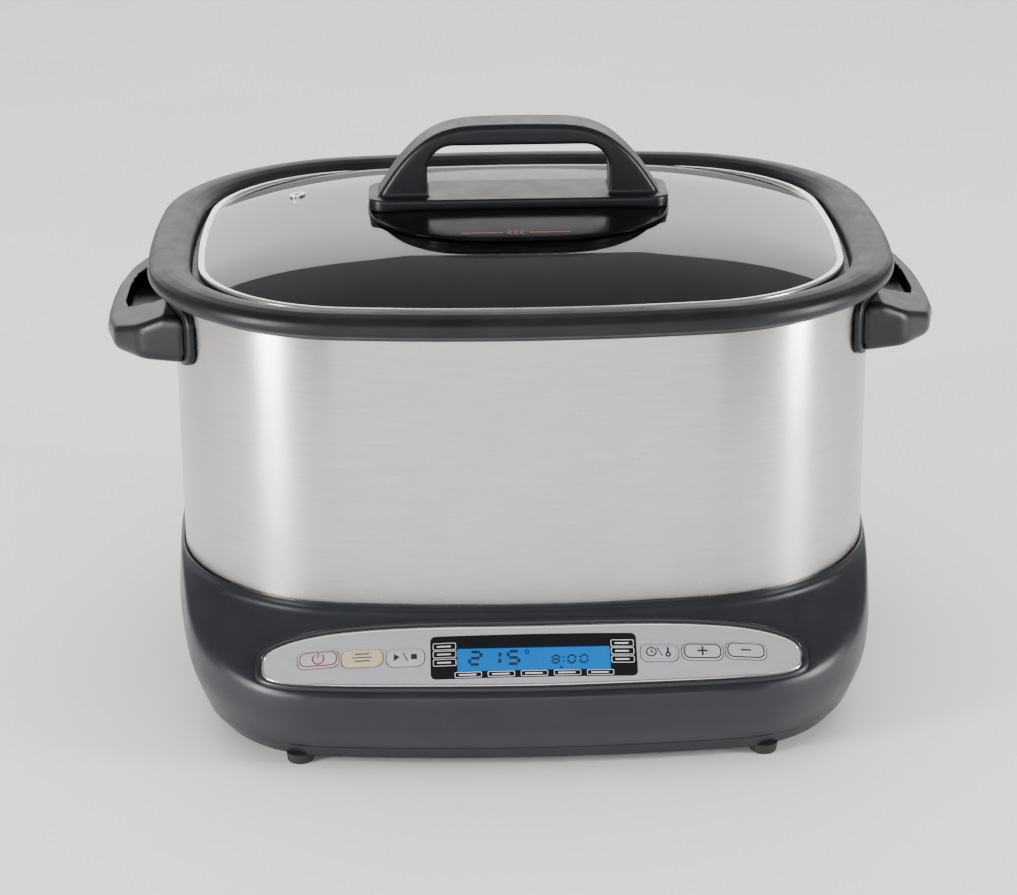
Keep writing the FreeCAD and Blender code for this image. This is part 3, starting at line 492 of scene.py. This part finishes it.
def fascia_outline(grown, angles):
    """Outline of the fascia, grown by a margin, as (along, up) on the panel."""
    c = np.cos(angles)
    s = np.sin(angles)
    u = (FASCIA_U + grown) * np.abs(c) ** (2 / FASCIA_POWER) * np.sign(c)
    v = (FASCIA_V + grown) * np.abs(s) ** (2 / FASCIA_POWER) * np.sign(s)
    return u, v + FASCIA_LIFT * (1 - np.exp(-(u / FASCIA_LIFT_U) ** 2))


def past_lip(points):
    """Distance of plan points outside the lip outline."""
    edge = np.roll(LIP, -1, 0) - LIP
    rel = points[:, None, :] - LIP[None]
    share = np.clip((rel * edge).sum(2) / (edge ** 2).sum(1), 0, 1)
    return np.linalg.norm(rel - share[:, :, None] * edge, axis=2).min(1)


def panel_point(u, v, w):
    """Plan frame point of panel coordinates: along, up the slope, out of the panel."""
    y = PANEL_Y + v * math.cos(DECK_SLOPE) - w * math.sin(DECK_SLOPE)
    z = PANEL_Z + v * math.sin(DECK_SLOPE) + w * math.cos(DECK_SLOPE)
    return np.stack([u, y, z], 1)


def on_deck(u, v, rise):
    """Object-frame points on the sloped deck, lifted by rise along the panel's normal."""
    u = np.asarray(u, float)
    v = np.asarray(v, float)
    w = -(u ** 2) / (2 * PANEL_RADIUS)
    for _ in range(4):
        p = panel_point(u, v, w)
        miss = p[:, 2] - (LIP_Z - past_lip(p[:, :2]) * math.tan(DECK_SLOPE))
        w = w - miss * math.cos(DECK_SLOPE)
    p = panel_point(u, v, w + rise)
    return at(p[:, :2], p[:, 2])


def on_face(u, v, rise):
    """Object-frame points on the flat face of the display."""
    p = panel_point(np.asarray(u, float), np.asarray(v, float), np.asarray(rise, float))
    return at(p[:, :2], p[:, 2])


# ---------------------------------------------------------------- base
def wall_reach(points, normals, z):
    """How far along each normal the base's outer wall lies at one height."""
    loop = wall_plan(z)
    edge = np.roll(loop, -1, 0) - loop
    low = np.full(len(points), -30.0)
    high = np.full(len(points), 80.0)
    for _ in range(26):
        mid = (low + high) / 2
        rel = (points + normals * mid[:, None])[:, None, :] - loop[None]
        inside = (edge[:, 0] * rel[:, :, 1] - edge[:, 1] * rel[:, :, 0]).min(1) >= 0
        low = np.where(inside, mid, low)
        high = np.where(inside, high, mid)
    return (low + high) / 2


def plan_normals(loop):
    """Outward unit normals at the points of an anticlockwise outline."""
    edge = np.roll(loop, -1, 0) - np.roll(loop, 1, 0)
    normal = np.stack([edge[:, 1], -edge[:, 0]], 1)
    return normal / np.linalg.norm(normal, axis=1, keepdims=True)


def resample(path, count):
    """A path as evenly spaced points, and its length."""
    step = np.concatenate([[0], np.cumsum(np.linalg.norm(np.diff(path, axis=0), axis=1))])
    spots = np.linspace(0, step[-1], count)
    return np.stack([np.interp(spots, step, path[:, k]) for k in range(path.shape[1])], 1), step[-1]


def eased(path, length, radius):
    """Round a profile's corners by averaging it over a window, ends held."""
    count = len(path)
    half = max(1, int(round(radius / length * count)))
    weights = np.hanning(2 * half + 3)[1:-1]
    weights /= weights.sum()
    pad = np.concatenate([
        2 * path[0] - path[half:0:-1],
        path,
        2 * path[-1] - path[-2:-half - 2:-1],
    ])
    return np.stack([np.convolve(pad[:, k], weights, "valid") for k in range(path.shape[1])], 1)


def pocket_depth(points):
    """How far the deck sinks under the fascia, for plan frame points."""
    v = (points[:, 1] - PANEL_Y) * math.cos(DECK_SLOPE) + (points[:, 2] - PANEL_Z) * math.sin(DECK_SLOPE)
    edge_u, edge_v = fascia_outline(0.0, np.linspace(0, 2 * np.pi, 361))
    away = np.full(len(points), 1e9)
    for a, b in zip(edge_u, edge_v):
        away = np.minimum(away, np.hypot(points[:, 0] - a, v - b))
    bow = FASCIA_LIFT * (1 - np.exp(-(points[:, 0] / FASCIA_LIFT_U) ** 2))
    level = np.abs(points[:, 0] / FASCIA_U) ** FASCIA_POWER + np.abs((v - bow) / FASCIA_V) ** FASCIA_POWER
    away = np.where(level < 1, -away, away)
    share = np.clip((2.7 - away) / 1.7, 0, 1)
    front = (points[:, 1] < -100) & (points[:, 2] > 35)
    return POCKET * share * share * (3 - 2 * share) * front


def base_shell():
    """Sloped deck with a bead at the lip, soft crease, outer wall and the shell's inner side."""
    normal = plan_normals(LIP)
    fall = math.tan(DECK_SLOPE)
    heights = np.linspace(SEAM_Z, WALL_TOP, 17)
    reach = np.array([wall_reach(LIP, normal, z) for z in heights])
    samples = 96
    inner = 9
    rings = [np.empty((len(LIP), 3)) for _ in range(samples + inner)]
    for i in range(len(LIP)):
        tries = np.linspace(0, 60, 601)
        meets = np.argmax(tries >= np.interp(LIP_Z - tries * fall, heights, reach[:, i]))
        crease = tries[meets]
        edge_z = LIP_Z - crease * fall
        profile = [(0.0, LIP_Z), (crease, edge_z)]
        profile += [(np.interp(z, heights, reach[:, i]), z) for z in np.linspace(edge_z, SEAM_Z, 14)[1:]]
        path, length = resample(np.array(profile), samples)
        wide = min(1.0, max(0.0, (crease - 6) / 20))
        radius = 3.0 + 8.0 * abs(normal[i][0]) * wide
        path = eased(path, length, min(radius, 0.2 * length))
        along = path[:, 0]
        bead = 0.9 * wide * np.exp(-((along - 3.0) / 1.5) ** 2)
        lift = bead - 0.5 * wide * np.exp(-((along - 0.5 * crease) / (0.3 * crease + 1)) ** 2)
        path = path + lift[:, None] * [math.sin(DECK_SLOPE), math.cos(DECK_SLOPE)]
        foot = path[-1]
        under = min(edge_z - 4.0, 59.0)
        back = [(foot[0] - 2.6, SEAM_Z), (foot[0] - 2.9, 0.6 * SEAM_Z + 0.4 * under), (crease - 3.4, under),
                (min(-1.2, crease - 4.0), 61.0), (-23.5, 62.0), (-23.5, 65.0), (-1.2, 65.0), (-1.2, 73.6),
                (-0.8, 74.0)]
        whole = np.concatenate([path, back])
        for k in range(samples + inner):
            rings[k][i] = (*(LIP[i] + normal[i] * whole[k, 0]), whole[k, 1])
    for k in range(samples):
        sink = pocket_depth(rings[k])
        rings[k][:, 1] += sink * math.sin(DECK_SLOPE)
        rings[k][:, 2] -= sink * math.cos(DECK_SLOPE)
    return [at(r[:, :2], r[:, 2]) for r in rings]


def cut_boxes(obj, boxes):
    """Cut boxes, given as low and high corners in plan frame millimetres, out of a closed mesh."""
    bm = bmesh.new()
    for low, high in boxes:
        low = Vector(low)
        high = Vector(high)
        size = Matrix.Diagonal(((high.x - low.x), (high.y - low.y), (high.z - low.z), 1))
        place = Matrix.Translation((low + high) / 2 + Vector((0, POT_Y, 0)))
        bmesh.ops.create_cube(bm, size=1, matrix=Matrix.Scale(MM, 4) @ place @ size)
    mesh = bpy.data.meshes.new("cutter")
    bm.to_mesh(mesh)
    bm.free()
    cutter = bpy.data.objects.new("cutter", mesh)
    bpy.context.scene.collection.objects.link(cutter)
    cut = obj.modifiers.new("cut", "BOOLEAN")
    cut.operation = "DIFFERENCE"
    cut.solver = "EXACT"
    cut.object = cutter
    made = bpy.data.meshes.new_from_object(obj.evaluated_get(bpy.context.evaluated_depsgraph_get()))
    obj.modifiers.clear()
    obj.data = made
    bpy.data.objects.remove(cutter)


shell = loft("base_shell", base_shell(), M["charcoal_plastic"], "base", ("base_housing",),
             closed_profile=True)
INLET_HOLE = ((-14.2, 120, 25.8), (14.2, 160, 46.2))
wall_vents = [((x - 1.5, 120, 24), (x + 1.5, 160, 42))
              for side in (-1, 1) for x in side * np.array([72, 78, 84, 90])]
cut_boxes(shell, [INLET_HOLE] + wall_vents)


# ---------------------------------------------------------------- control panel
def fascia_ring(name, section, material, replaces=()):
    """Ring round the fascia whose section is a loop of (grown outline, rise above the deck)."""
    angles = np.linspace(0, 2 * np.pi, 361)[:-1]
    rings = []
    for grown, rise in section:
        u, v = fascia_outline(grown, angles)
        rings.append(on_deck(u, v, rise))
    return loft(name, rings, material, "base", replaces, closed_profile=True)


trim_section = [(0.35, -1.5), (0.35, 0.5), (0.8, 1.2), (1.5, 1.6), (2.2, 1.6), (2.9, 1.1), (3.4, 0.2),
                (3.4, -1.5)]
fascia_ring("fascia_bead", rounded(trim_section, 0.6, 3), M["charcoal_plastic"],
            ("fascia_trim",))
bevel_section = [(-1.2, 0.1), (-1.2, 0.34), (-0.7, 0.5), (-0.15, 0.36), (0.05, 0.05), (0.05, -0.4),
                 (-0.8, -0.4)]
fascia_ring("fascia_edge", bevel_section, M["ring_steel"])


def stroke(points, width, closed=False):
    """Left and right edges of a line of constant width, with mitred corners."""
    p = np.array(points, float)
    before = np.roll(p, 1, 0)
    after = np.roll(p, -1, 0)
    if not closed:
        before[0] = 2 * p[0] - p[1]
        after[-1] = 2 * p[-1] - p[-2]
    a = p - before
    b = after - p
    a /= np.linalg.norm(a, axis=1, keepdims=True)
    b /= np.linalg.norm(b, axis=1, keepdims=True)
    along = a + b
    along /= np.linalg.norm(along, axis=1, keepdims=True)
    across = np.stack([-along[:, 1], along[:, 0]], 1)
    miter = 1 / np.maximum(0.5, (along * a).sum(1))
    side = across * (miter * width / 2)[:, None]
    return p + side, p - side, closed


def wedge(tip, left, right):
    """Filled triangle from its tip to the opposite side."""
    tip = np.array(tip, float)
    left = np.array(left, float)
    right = np.array(right, float)
    near = tip + 0.02 * (left + right - 2 * tip)
    half = (left - right) * 0.02
    return np.array([near + half, left]), np.array([near - half, right]), False


def marks(name, shapes, surface, material, body, thick=0.12):
    """Thin closed prints of the shapes on a surface given as a function of (u, v, rise)."""
    verts = []
    faces = []
    for left, right, closed in shapes:
        n = len(left)
        u = np.concatenate([left[:, 0], right[:, 0]])
        v = np.concatenate([left[:, 1], right[:, 1]])
        top = surface(u, v, thick)
        low = surface(u, v, -0.1)
        base = len(verts)
        verts.extend(np.concatenate([top, low]))
        corners = (0, n, 3 * n, 2 * n)
        for i in range(n if closed else n - 1):
            j = (i + 1) % n
            for k in range(4):
                a = corners[k]
                b = corners[(k + 1) % 4]
                faces.append((base + a + i, base + a + j, base + b + j, base + b + i))
        if not closed:
            faces.append(tuple(base + c for c in corners))
            faces.append(tuple(base + c + n - 1 for c in reversed(corners)))
    obj = add_mesh(name, verts, faces, material, body, smooth=False)
    tidy_normals(obj)
    return obj


def round_box(half_u, half_v, corner, steps=7):
    """Rounded rectangle about the origin."""
    out = []
    for cu, cv, start in ((1, 1, 0), (-1, 1, 90), (-1, -1, 180), (1, -1, 270)):
        for k in range(steps + 1):
            a = math.radians(start + 90 * k / steps)
            out.append((cu * (half_u - corner) + corner * math.cos(a),
                        cv * (half_v - corner) + corner * math.sin(a)))
    return np.array(out)


def circle(u, v, radius, start=0, end=360):
    """Points round a circle or along an arc of it, in degrees."""
    angles = np.radians(np.linspace(start, end, CIRCLE_STEPS + 1))
    points = np.stack([u + radius * np.cos(angles), v + radius * np.sin(angles)], 1)
    return points[:-1] if end - start >= 360 else points


def crown(x, y, half_u, half_v):
    """Rise of a button's cushioned top."""
    s = np.clip(np.maximum(np.abs(x) / half_u, np.abs(y) / half_v), 0, 1)
    return 0.72 + 0.75 * (1 - s ** 2.6)


def button(name, u, v, wide, material, outline, icon, ink):
    """Cushioned button cap with its printed outline and icon."""
    half_u = wide / 2
    half_v = BUTTON_HIGH / 2

    def surface(a, b, rise):
        return on_deck(a + u, b + v, crown(a, b, half_u, half_v) + rise)

    rings = []
    for scale in (1.0, 1.0, 0.985, 0.95, 0.9, 0.82, 0.7, 0.5, 0.25, 0.05):
        loop = round_box(half_u, half_v, BUTTON_CORNER) * scale
        rise = crown(loop[:, 0], loop[:, 1], half_u, half_v)
        rings.append(on_deck(loop[:, 0] + u, loop[:, 1] + v, rise if len(rings) else np.full(len(loop), 0.6)))
    body = "button_" + name
    loft("pad_" + name, rings, material, body, caps=True)
    if outline:
        edge = round_box(half_u - BUTTON_BORDER, half_v - BUTTON_BORDER, 2.9)
        border = stroke(edge, 0.55, True)
        marks("border_" + name, [border], surface, outline, body)
    marks("icon_" + name, icon, surface, ink, body)


def bars(*rows):
    """Horizontal strokes given as (left, right, height up)."""
    return [stroke([(a, h), (b, h)], 0.55) for a, b, h in rows]


power_icon = [stroke(circle(0, -0.2, 2.7, 125, 415), 0.6), stroke([(0, 0.3), (0, 3.1)], 0.6)]
menu_icon = bars((-3.4, 3.4, 1.9), (-4.6, 4.6, 0.0), (-3.4, 3.4, -1.9))
start_icon = [wedge((-2.6, 0), (-5.6, 2.0), (-5.6, -2.0)), stroke([(1.1, -2.2), (-1.1, 2.2)], 0.55),
              stroke([(4.1, -1.45), (4.1, 1.45)], 2.8)]
timer_icon = [stroke(circle(-4.0, 0, 2.3), 0.55, True), stroke([(-4.0, 1.4), (-4.0, 0), (-2.8, -0.4)], 0.5),
              stroke([(1.1, -2.2), (-1.1, 2.2)], 0.55), stroke(circle(4.0, -1.4, 1.0), 0.75, True),
              stroke([(4.0, -0.7), (4.0, 2.5)], 1.0)]
BAR_STEPS = (-2.5, -1.5, -0.5, 0.5, 1.5, 2.5)    # short steps, so that a bar follows the button's crown
minus_icon = [stroke([(t, 0) for t in BAR_STEPS], 0.85)]
plus_icon = minus_icon + [stroke([(0, t) for t in BAR_STEPS], 0.85)]
INKS = {
    "power": (M["button_silver"], M["ink_red"], power_icon, M["ink_red"]),
    "menu": (M["button_gold"], M["ink_amber"], menu_icon, M["ink_dark"]),
    "start": (M["button_silver"], None, start_icon, M["ink_dark"]),
    "timer": (M["button_silver"], M["ink_green"], timer_icon, M["ink_dark"]),
    "plus": (M["button_silver"], M["ink_dark"], plus_icon, M["ink_dark"]),
    "minus": (M["button_silver"], M["ink_dark"], minus_icon, M["ink_dark"]),
}
for name, (u, v, wide) in BUTTONS.items():
    button(name, u, v, wide, *INKS[name])

DIGIT_LEAN = 0.08
SEGMENTS = {"0": "abcdef", "1": "bc", "2": "abged", "5": "afgcd", "8": "abcdefg"}


def digit(mark, u, v, wide, high, width):
    """Seven-segment figure as short strokes."""
    x = wide / 2 - width / 2
    y = high / 2 - width / 2
    gap = 0.45 * width
    ends = {
        "a": ((-x + gap, y), (x - gap, y)),
        "b": ((x, y - gap), (x, gap)),
        "c": ((x, -gap), (x, -y + gap)),
        "d": ((-x + gap, -y), (x - gap, -y)),
        "e": ((-x, -gap), (-x, -y + gap)),
        "f": ((-x, y - gap), (-x, gap)),
        "g": ((-x + gap, 0), (x - gap, 0)),
    }
    return [stroke([(u + px + DIGIT_LEAN * py, v + py) for px, py in ends[k]], width) for k in SEGMENTS[mark]]


def display(u, v, rise):
    """Object-frame points on the front of the display."""
    return on_face(u, v, LCD_W + rise)


figures = []
for mark, u in zip("215", (-27.5, -18.3, -9.2)):
    figures += digit(mark, u, -0.4, 6.6, 8.2, 1.4)
figures.append(stroke(circle(-2.6, 2.6, 0.9), 0.5, True))
for mark, u in zip("800", (11.0, 18.6, 24.4)):
    figures += digit(mark, u, -1.8, 4.2, 5.0, 0.9)
figures += [stroke([(14.7, -0.9), (14.7, -0.2)], 0.7), stroke([(14.7, -3.2), (14.7, -2.5)], 0.7)]
figures.append(wedge((13.5, -5.2), (12.6, -6.6), (14.4, -6.6)))
marks("display_figures", figures, display, M["ink_dark"], "base")


def frame_face(u, v, rise):
    """Object-frame points on the front of the window's frame."""
    return on_deck(u, v, WINDOW_RISE + rise)


labels = []
for side in (-1, 1):
    for v in (6.1, 1.8, -2.7):
        middle = WINDOW_U + side * LABEL_U
        labels.append(stroke(round_box(5.4, 1.75, 0.6, 3) + [middle, v], 0.28, True))
        labels.append(stroke([(middle - 3.6, v), (middle + 3.0, v)], 0.75))
for u in np.linspace(-31, 32, 5):
    labels.append(stroke(round_box(6.3, 1.35, 0.5, 3) + [u, LABEL_ROW_V], 0.28, True))
    labels.append(stroke([(u - 4.4, LABEL_ROW_V), (u + 3.8, LABEL_ROW_V)], 0.7))
marks("window_labels", labels, frame_face, M["ink_pale"], "base", 0.06)

# ---------------------------------------------------------------- jacket, pot, lid
jacket_profile = [(0.0, 65.3), (0.0, 208.3), (-0.8, 208.3), (-0.8, 65.3)]
ring_body("jacket_sheet", rounded(jacket_profile, 0.35, 3), M["brushed_steel"], "base",
          ("steel_jacket",))

pot_profile = [
    (-17.0, 211.2), (5.5, 211.2), (9.3, 212.2), (11.8, 214.2), (12.5, 217.0), (11.6, 219.8), (8.8, 221.8),
    (5.0, 222.9), (1.5, 223.2), (-1.5, 222.8), (-5.0, 221.5), (-7.8, 219.5), (-9.2, 217.0), (-9.5, 213.6),
    (-19.6, 213.6), (-21.2, 103.0), (-24.0, 93.0), (-29.0, 87.5), (-36.0, 85.0), (-60.0, 84.8),
]
pot_outer = [(-60.0, 82.0), (-32.0, 82.0), (-26.0, 84.5), (-21.5, 90.0), (-18.6, 100.0), (-17.0, 211.0)]


def pot():
    """Lift-out pot: outer wall, rolled rim and inner wall in one skin."""
    radii = [0, 3, 5, 8, 12, 0.4] + [0.8] + [4] * 12 + [0.5, 1.5, 12, 10, 8, 6, 0]
    loop = rounded(pot_outer + pot_profile, radii, 4)
    rings = [at(jacket_plan(d), z) for d, z in loop]
    return loft("pot", rings, M["nonstick"], "pot", ("inner_pot",), caps=True)


pot()

ring_profile = [(-12.3, 213.6), (-12.3, 219.8), (-16.3, 219.8), (-16.3, 213.6)]
ring_body("lid_rim", rounded(ring_profile, [0.3, 1.6, 1.6, 0.3], 5), M["ring_steel"], "lid",
          ("lid_ring",))

GLASS_OFFSET = -14.2
GLASS_Z = 218.2
GLASS_THICK = 3.6
DOME_RISE = 17.0
DOME_POWER = 3.5
PLATE_X = 76.5
PLATE_Y = 67.0
PLATE_POWER = 2.6
PLATE_THICK = 1.6
MARKS_Y = -58.0               # printed heat marks, on the front of the plate


def dome_rings(drop, scales):
    """Rings of the lid's domed surface, from its edge towards its middle."""
    edge = jacket_plan(GLASS_OFFSET)
    return [at(edge * s, GLASS_Z - drop + DOME_RISE * (1 - s ** DOME_POWER)) for s in scales]


def glass():
    """Domed glass of even thickness."""
    scales = 1 - np.linspace(0, 0.995, 60) ** 1.25
    outer = dome_rings(0.0, scales)
    inner = dome_rings(GLASS_THICK, scales)[::-1]
    return loft("glass_dome", inner + outer, M["lid_glass"], "lid", ("lid_glass",), caps=True)


def dome_height(x, y):
    """Top of the glass above the worktop at plan frame points."""
    edge = jacket_plan(GLASS_OFFSET)
    around = np.arctan2(edge[:, 1], edge[:, 0])
    order = np.argsort(around)
    reach = np.hypot(edge[:, 0], edge[:, 1])[order]
    s = np.hypot(x, y) / np.interp(np.arctan2(y, x), around[order], reach, period=2 * np.pi)
    return GLASS_Z + DOME_RISE * (1 - s ** DOME_POWER)


def on_plate(x, y, rise):
    """Object-frame points on top of the plate under the handle."""
    return at(np.stack([x, y], 1), dome_height(x, y) + PLATE_THICK + rise)


def plate():
    """Glossy plate under the handle, with a rounded rim."""
    a = np.linspace(0, 2 * np.pi, 181)[:-1]
    c = np.cos(a)
    s = np.sin(a)
    x = PLATE_X * np.abs(c) ** (2 / PLATE_POWER) * np.sign(c)
    y = PLATE_Y * np.abs(s) ** (2 / PLATE_POWER) * np.sign(s)
    size = np.hypot(x, y)
    section = [(-t, 0.05 - PLATE_THICK) for t in (66, 50, 34, 18, 6, 1.2)]
    section += [(-0.2, 0.2 - PLATE_THICK), (0.0, -0.9), (-0.2, -0.35), (-0.7, -0.05), (-1.5, 0.0)]
    section += [(-t, 0.0) for t in (4, 9, 18, 34, 50, 66)]
    rings = []
    for inset, rise in section:
        share = (size + inset * size / PLATE_X) / size
        rings.append(on_plate(x * share, y * share, rise))
    return loft("plate", rings, M["plate_black"], "lid", ("handle_plate",), caps=True)


glass()
plate()
wave = np.linspace(-2.6, 2.6, 13)
heat_marks = [stroke(np.stack([x + 0.9 * np.sin(wave * 1.9), MARKS_Y + wave], 1), 0.7)
              for x in (-6.0, -3.0, 0.0)]
heat_marks.append(stroke([(3.5, MARKS_Y), (24.0, MARKS_Y)], 0.9))
heat_marks.append(stroke([(-30.0, MARKS_Y), (-9.5, MARKS_Y)], 0.9))
marks("heat_marks", heat_marks, on_plate, M["ink_red"], "lid", 0.06)
soft_copy("grip", "lid_handle", M["handle_black"], "lid", 0.8, 6)
for side in ("left", "right"):
    black = M["handle_black"]
    soft_copy("side_grip_" + side, "side_handle_" + side, black, "base", 1.0, 8)
    soft_copy("collar_" + side, "handle_collar_" + side, black, "base", 0.8, 5)


def sensor_coil():
    """The sensor's spring, copied onto a mesh of its own. On the real cooker its foot stays put and it
    shortens towards the cap as the cap goes down; this copy does not shorten.
    """
    coil = bpy.data.objects.new("sensor_coil", NODES["sensor_spring"].data.copy())
    bpy.context.scene.collection.objects.link(coil)
    dress(coil, M["spring_steel"], "sensor", ("sensor_spring",))
    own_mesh(coil)


sensor_coil()


# ---------------------------------------------------------------- floor, light, camera
def floor():
    """Plain pale floor, for the stage only."""
    mesh = bpy.data.meshes.new("floor")
    half = 6.0
    corners = [(-half, -half, 0), (half, -half, 0), (half, half, 0), (-half, half, 0)]
    mesh.from_pydata(corners, [], [(0, 1, 2, 3)])
    obj = bpy.data.objects.new("floor", mesh)
    bpy.context.scene.collection.objects.link(obj)
    n = Nodes("floor")
    tone = n.ramp(n.noise(6.0), (0.3, (0.80, 0.80, 0.81)), (0.7, (0.83, 0.83, 0.84)))
    n.link(tone, n.shader.inputs["Base Color"])
    n.set(Roughness=0.55)
    obj.data.materials.append(n.material)


def area(name, place, target, size, power):
    """Rectangular light that the camera can't see and that doesn't light through the glass."""
    light = bpy.data.lights.new(name, "AREA")
    light.shape = "RECTANGLE"
    light.size, light.size_y = size
    light.energy = power
    obj = bpy.data.objects.new(name, light)
    bpy.context.scene.collection.objects.link(obj)
    obj.location = place
    obj.rotation_euler = (Vector(target) - Vector(place)).to_track_quat("-Z", "Y").to_euler()
    obj.visible_camera = False
    obj.visible_transmission = False
    return obj


def world():
    """Even, faint studio surroundings."""
    made = bpy.data.worlds.new("studio")
    bpy.context.scene.world = made
    made.use_nodes = True
    background = made.node_tree.nodes["Background"]
    background.inputs["Color"].default_value = (0.95, 0.96, 1.0, 1.0)
    background.inputs["Strength"].default_value = 0.3


floor()
world()
area("back_wall", (0, 3.4, 1.42), (0, 0, 0.25), (5.0, 1.84), 68)
area("key_left", (-1.86, -1.20, 0.62), (0, 0, 0.12), (0.46, 1.3), 74)
area("key_right", (2.07, -0.75, 0.62), (0, 0, 0.12), (0.42, 1.3), 62)
area("front_fill", (0.0, -3.0, 0.95), (0, 0, 0.12), (2.4, 1.3), 27)
area("overhead", (0, 0.2, 2.6), (0, 0, 0), (3.0, 3.0), 95).visible_glossy = False

YAW, PITCH, ROLL = 0.028, 0.356, -0.009    # radians
LENS = 102.48
SENSOR_WIDTH = 36.0
EYE = Vector((-0.046, -1.429 + POT_Y * MM, 0.633))
forward = Vector((math.sin(YAW) * math.cos(PITCH), math.cos(YAW) * math.cos(PITCH), -math.sin(PITCH)))
right = Vector((math.cos(YAW), -math.sin(YAW), 0))
up = right.cross(forward)
turned_right = right * math.cos(ROLL) + up * math.sin(ROLL)
turned_up = up * math.cos(ROLL) - right * math.sin(ROLL)
camera = bpy.data.objects.new("camera", bpy.data.cameras.new("camera"))
bpy.context.scene.collection.objects.link(camera)
camera.matrix_world = Matrix((
    (turned_right.x, turned_up.x, -forward.x, EYE.x),
    (turned_right.y, turned_up.y, -forward.y, EYE.y),
    (turned_right.z, turned_up.z, -forward.z, EYE.z),
    (0, 0, 0, 1),
))
camera.data.sensor_width = SENSOR_WIDTH
camera.data.lens = LENS
bpy.context.scene.camera = camera
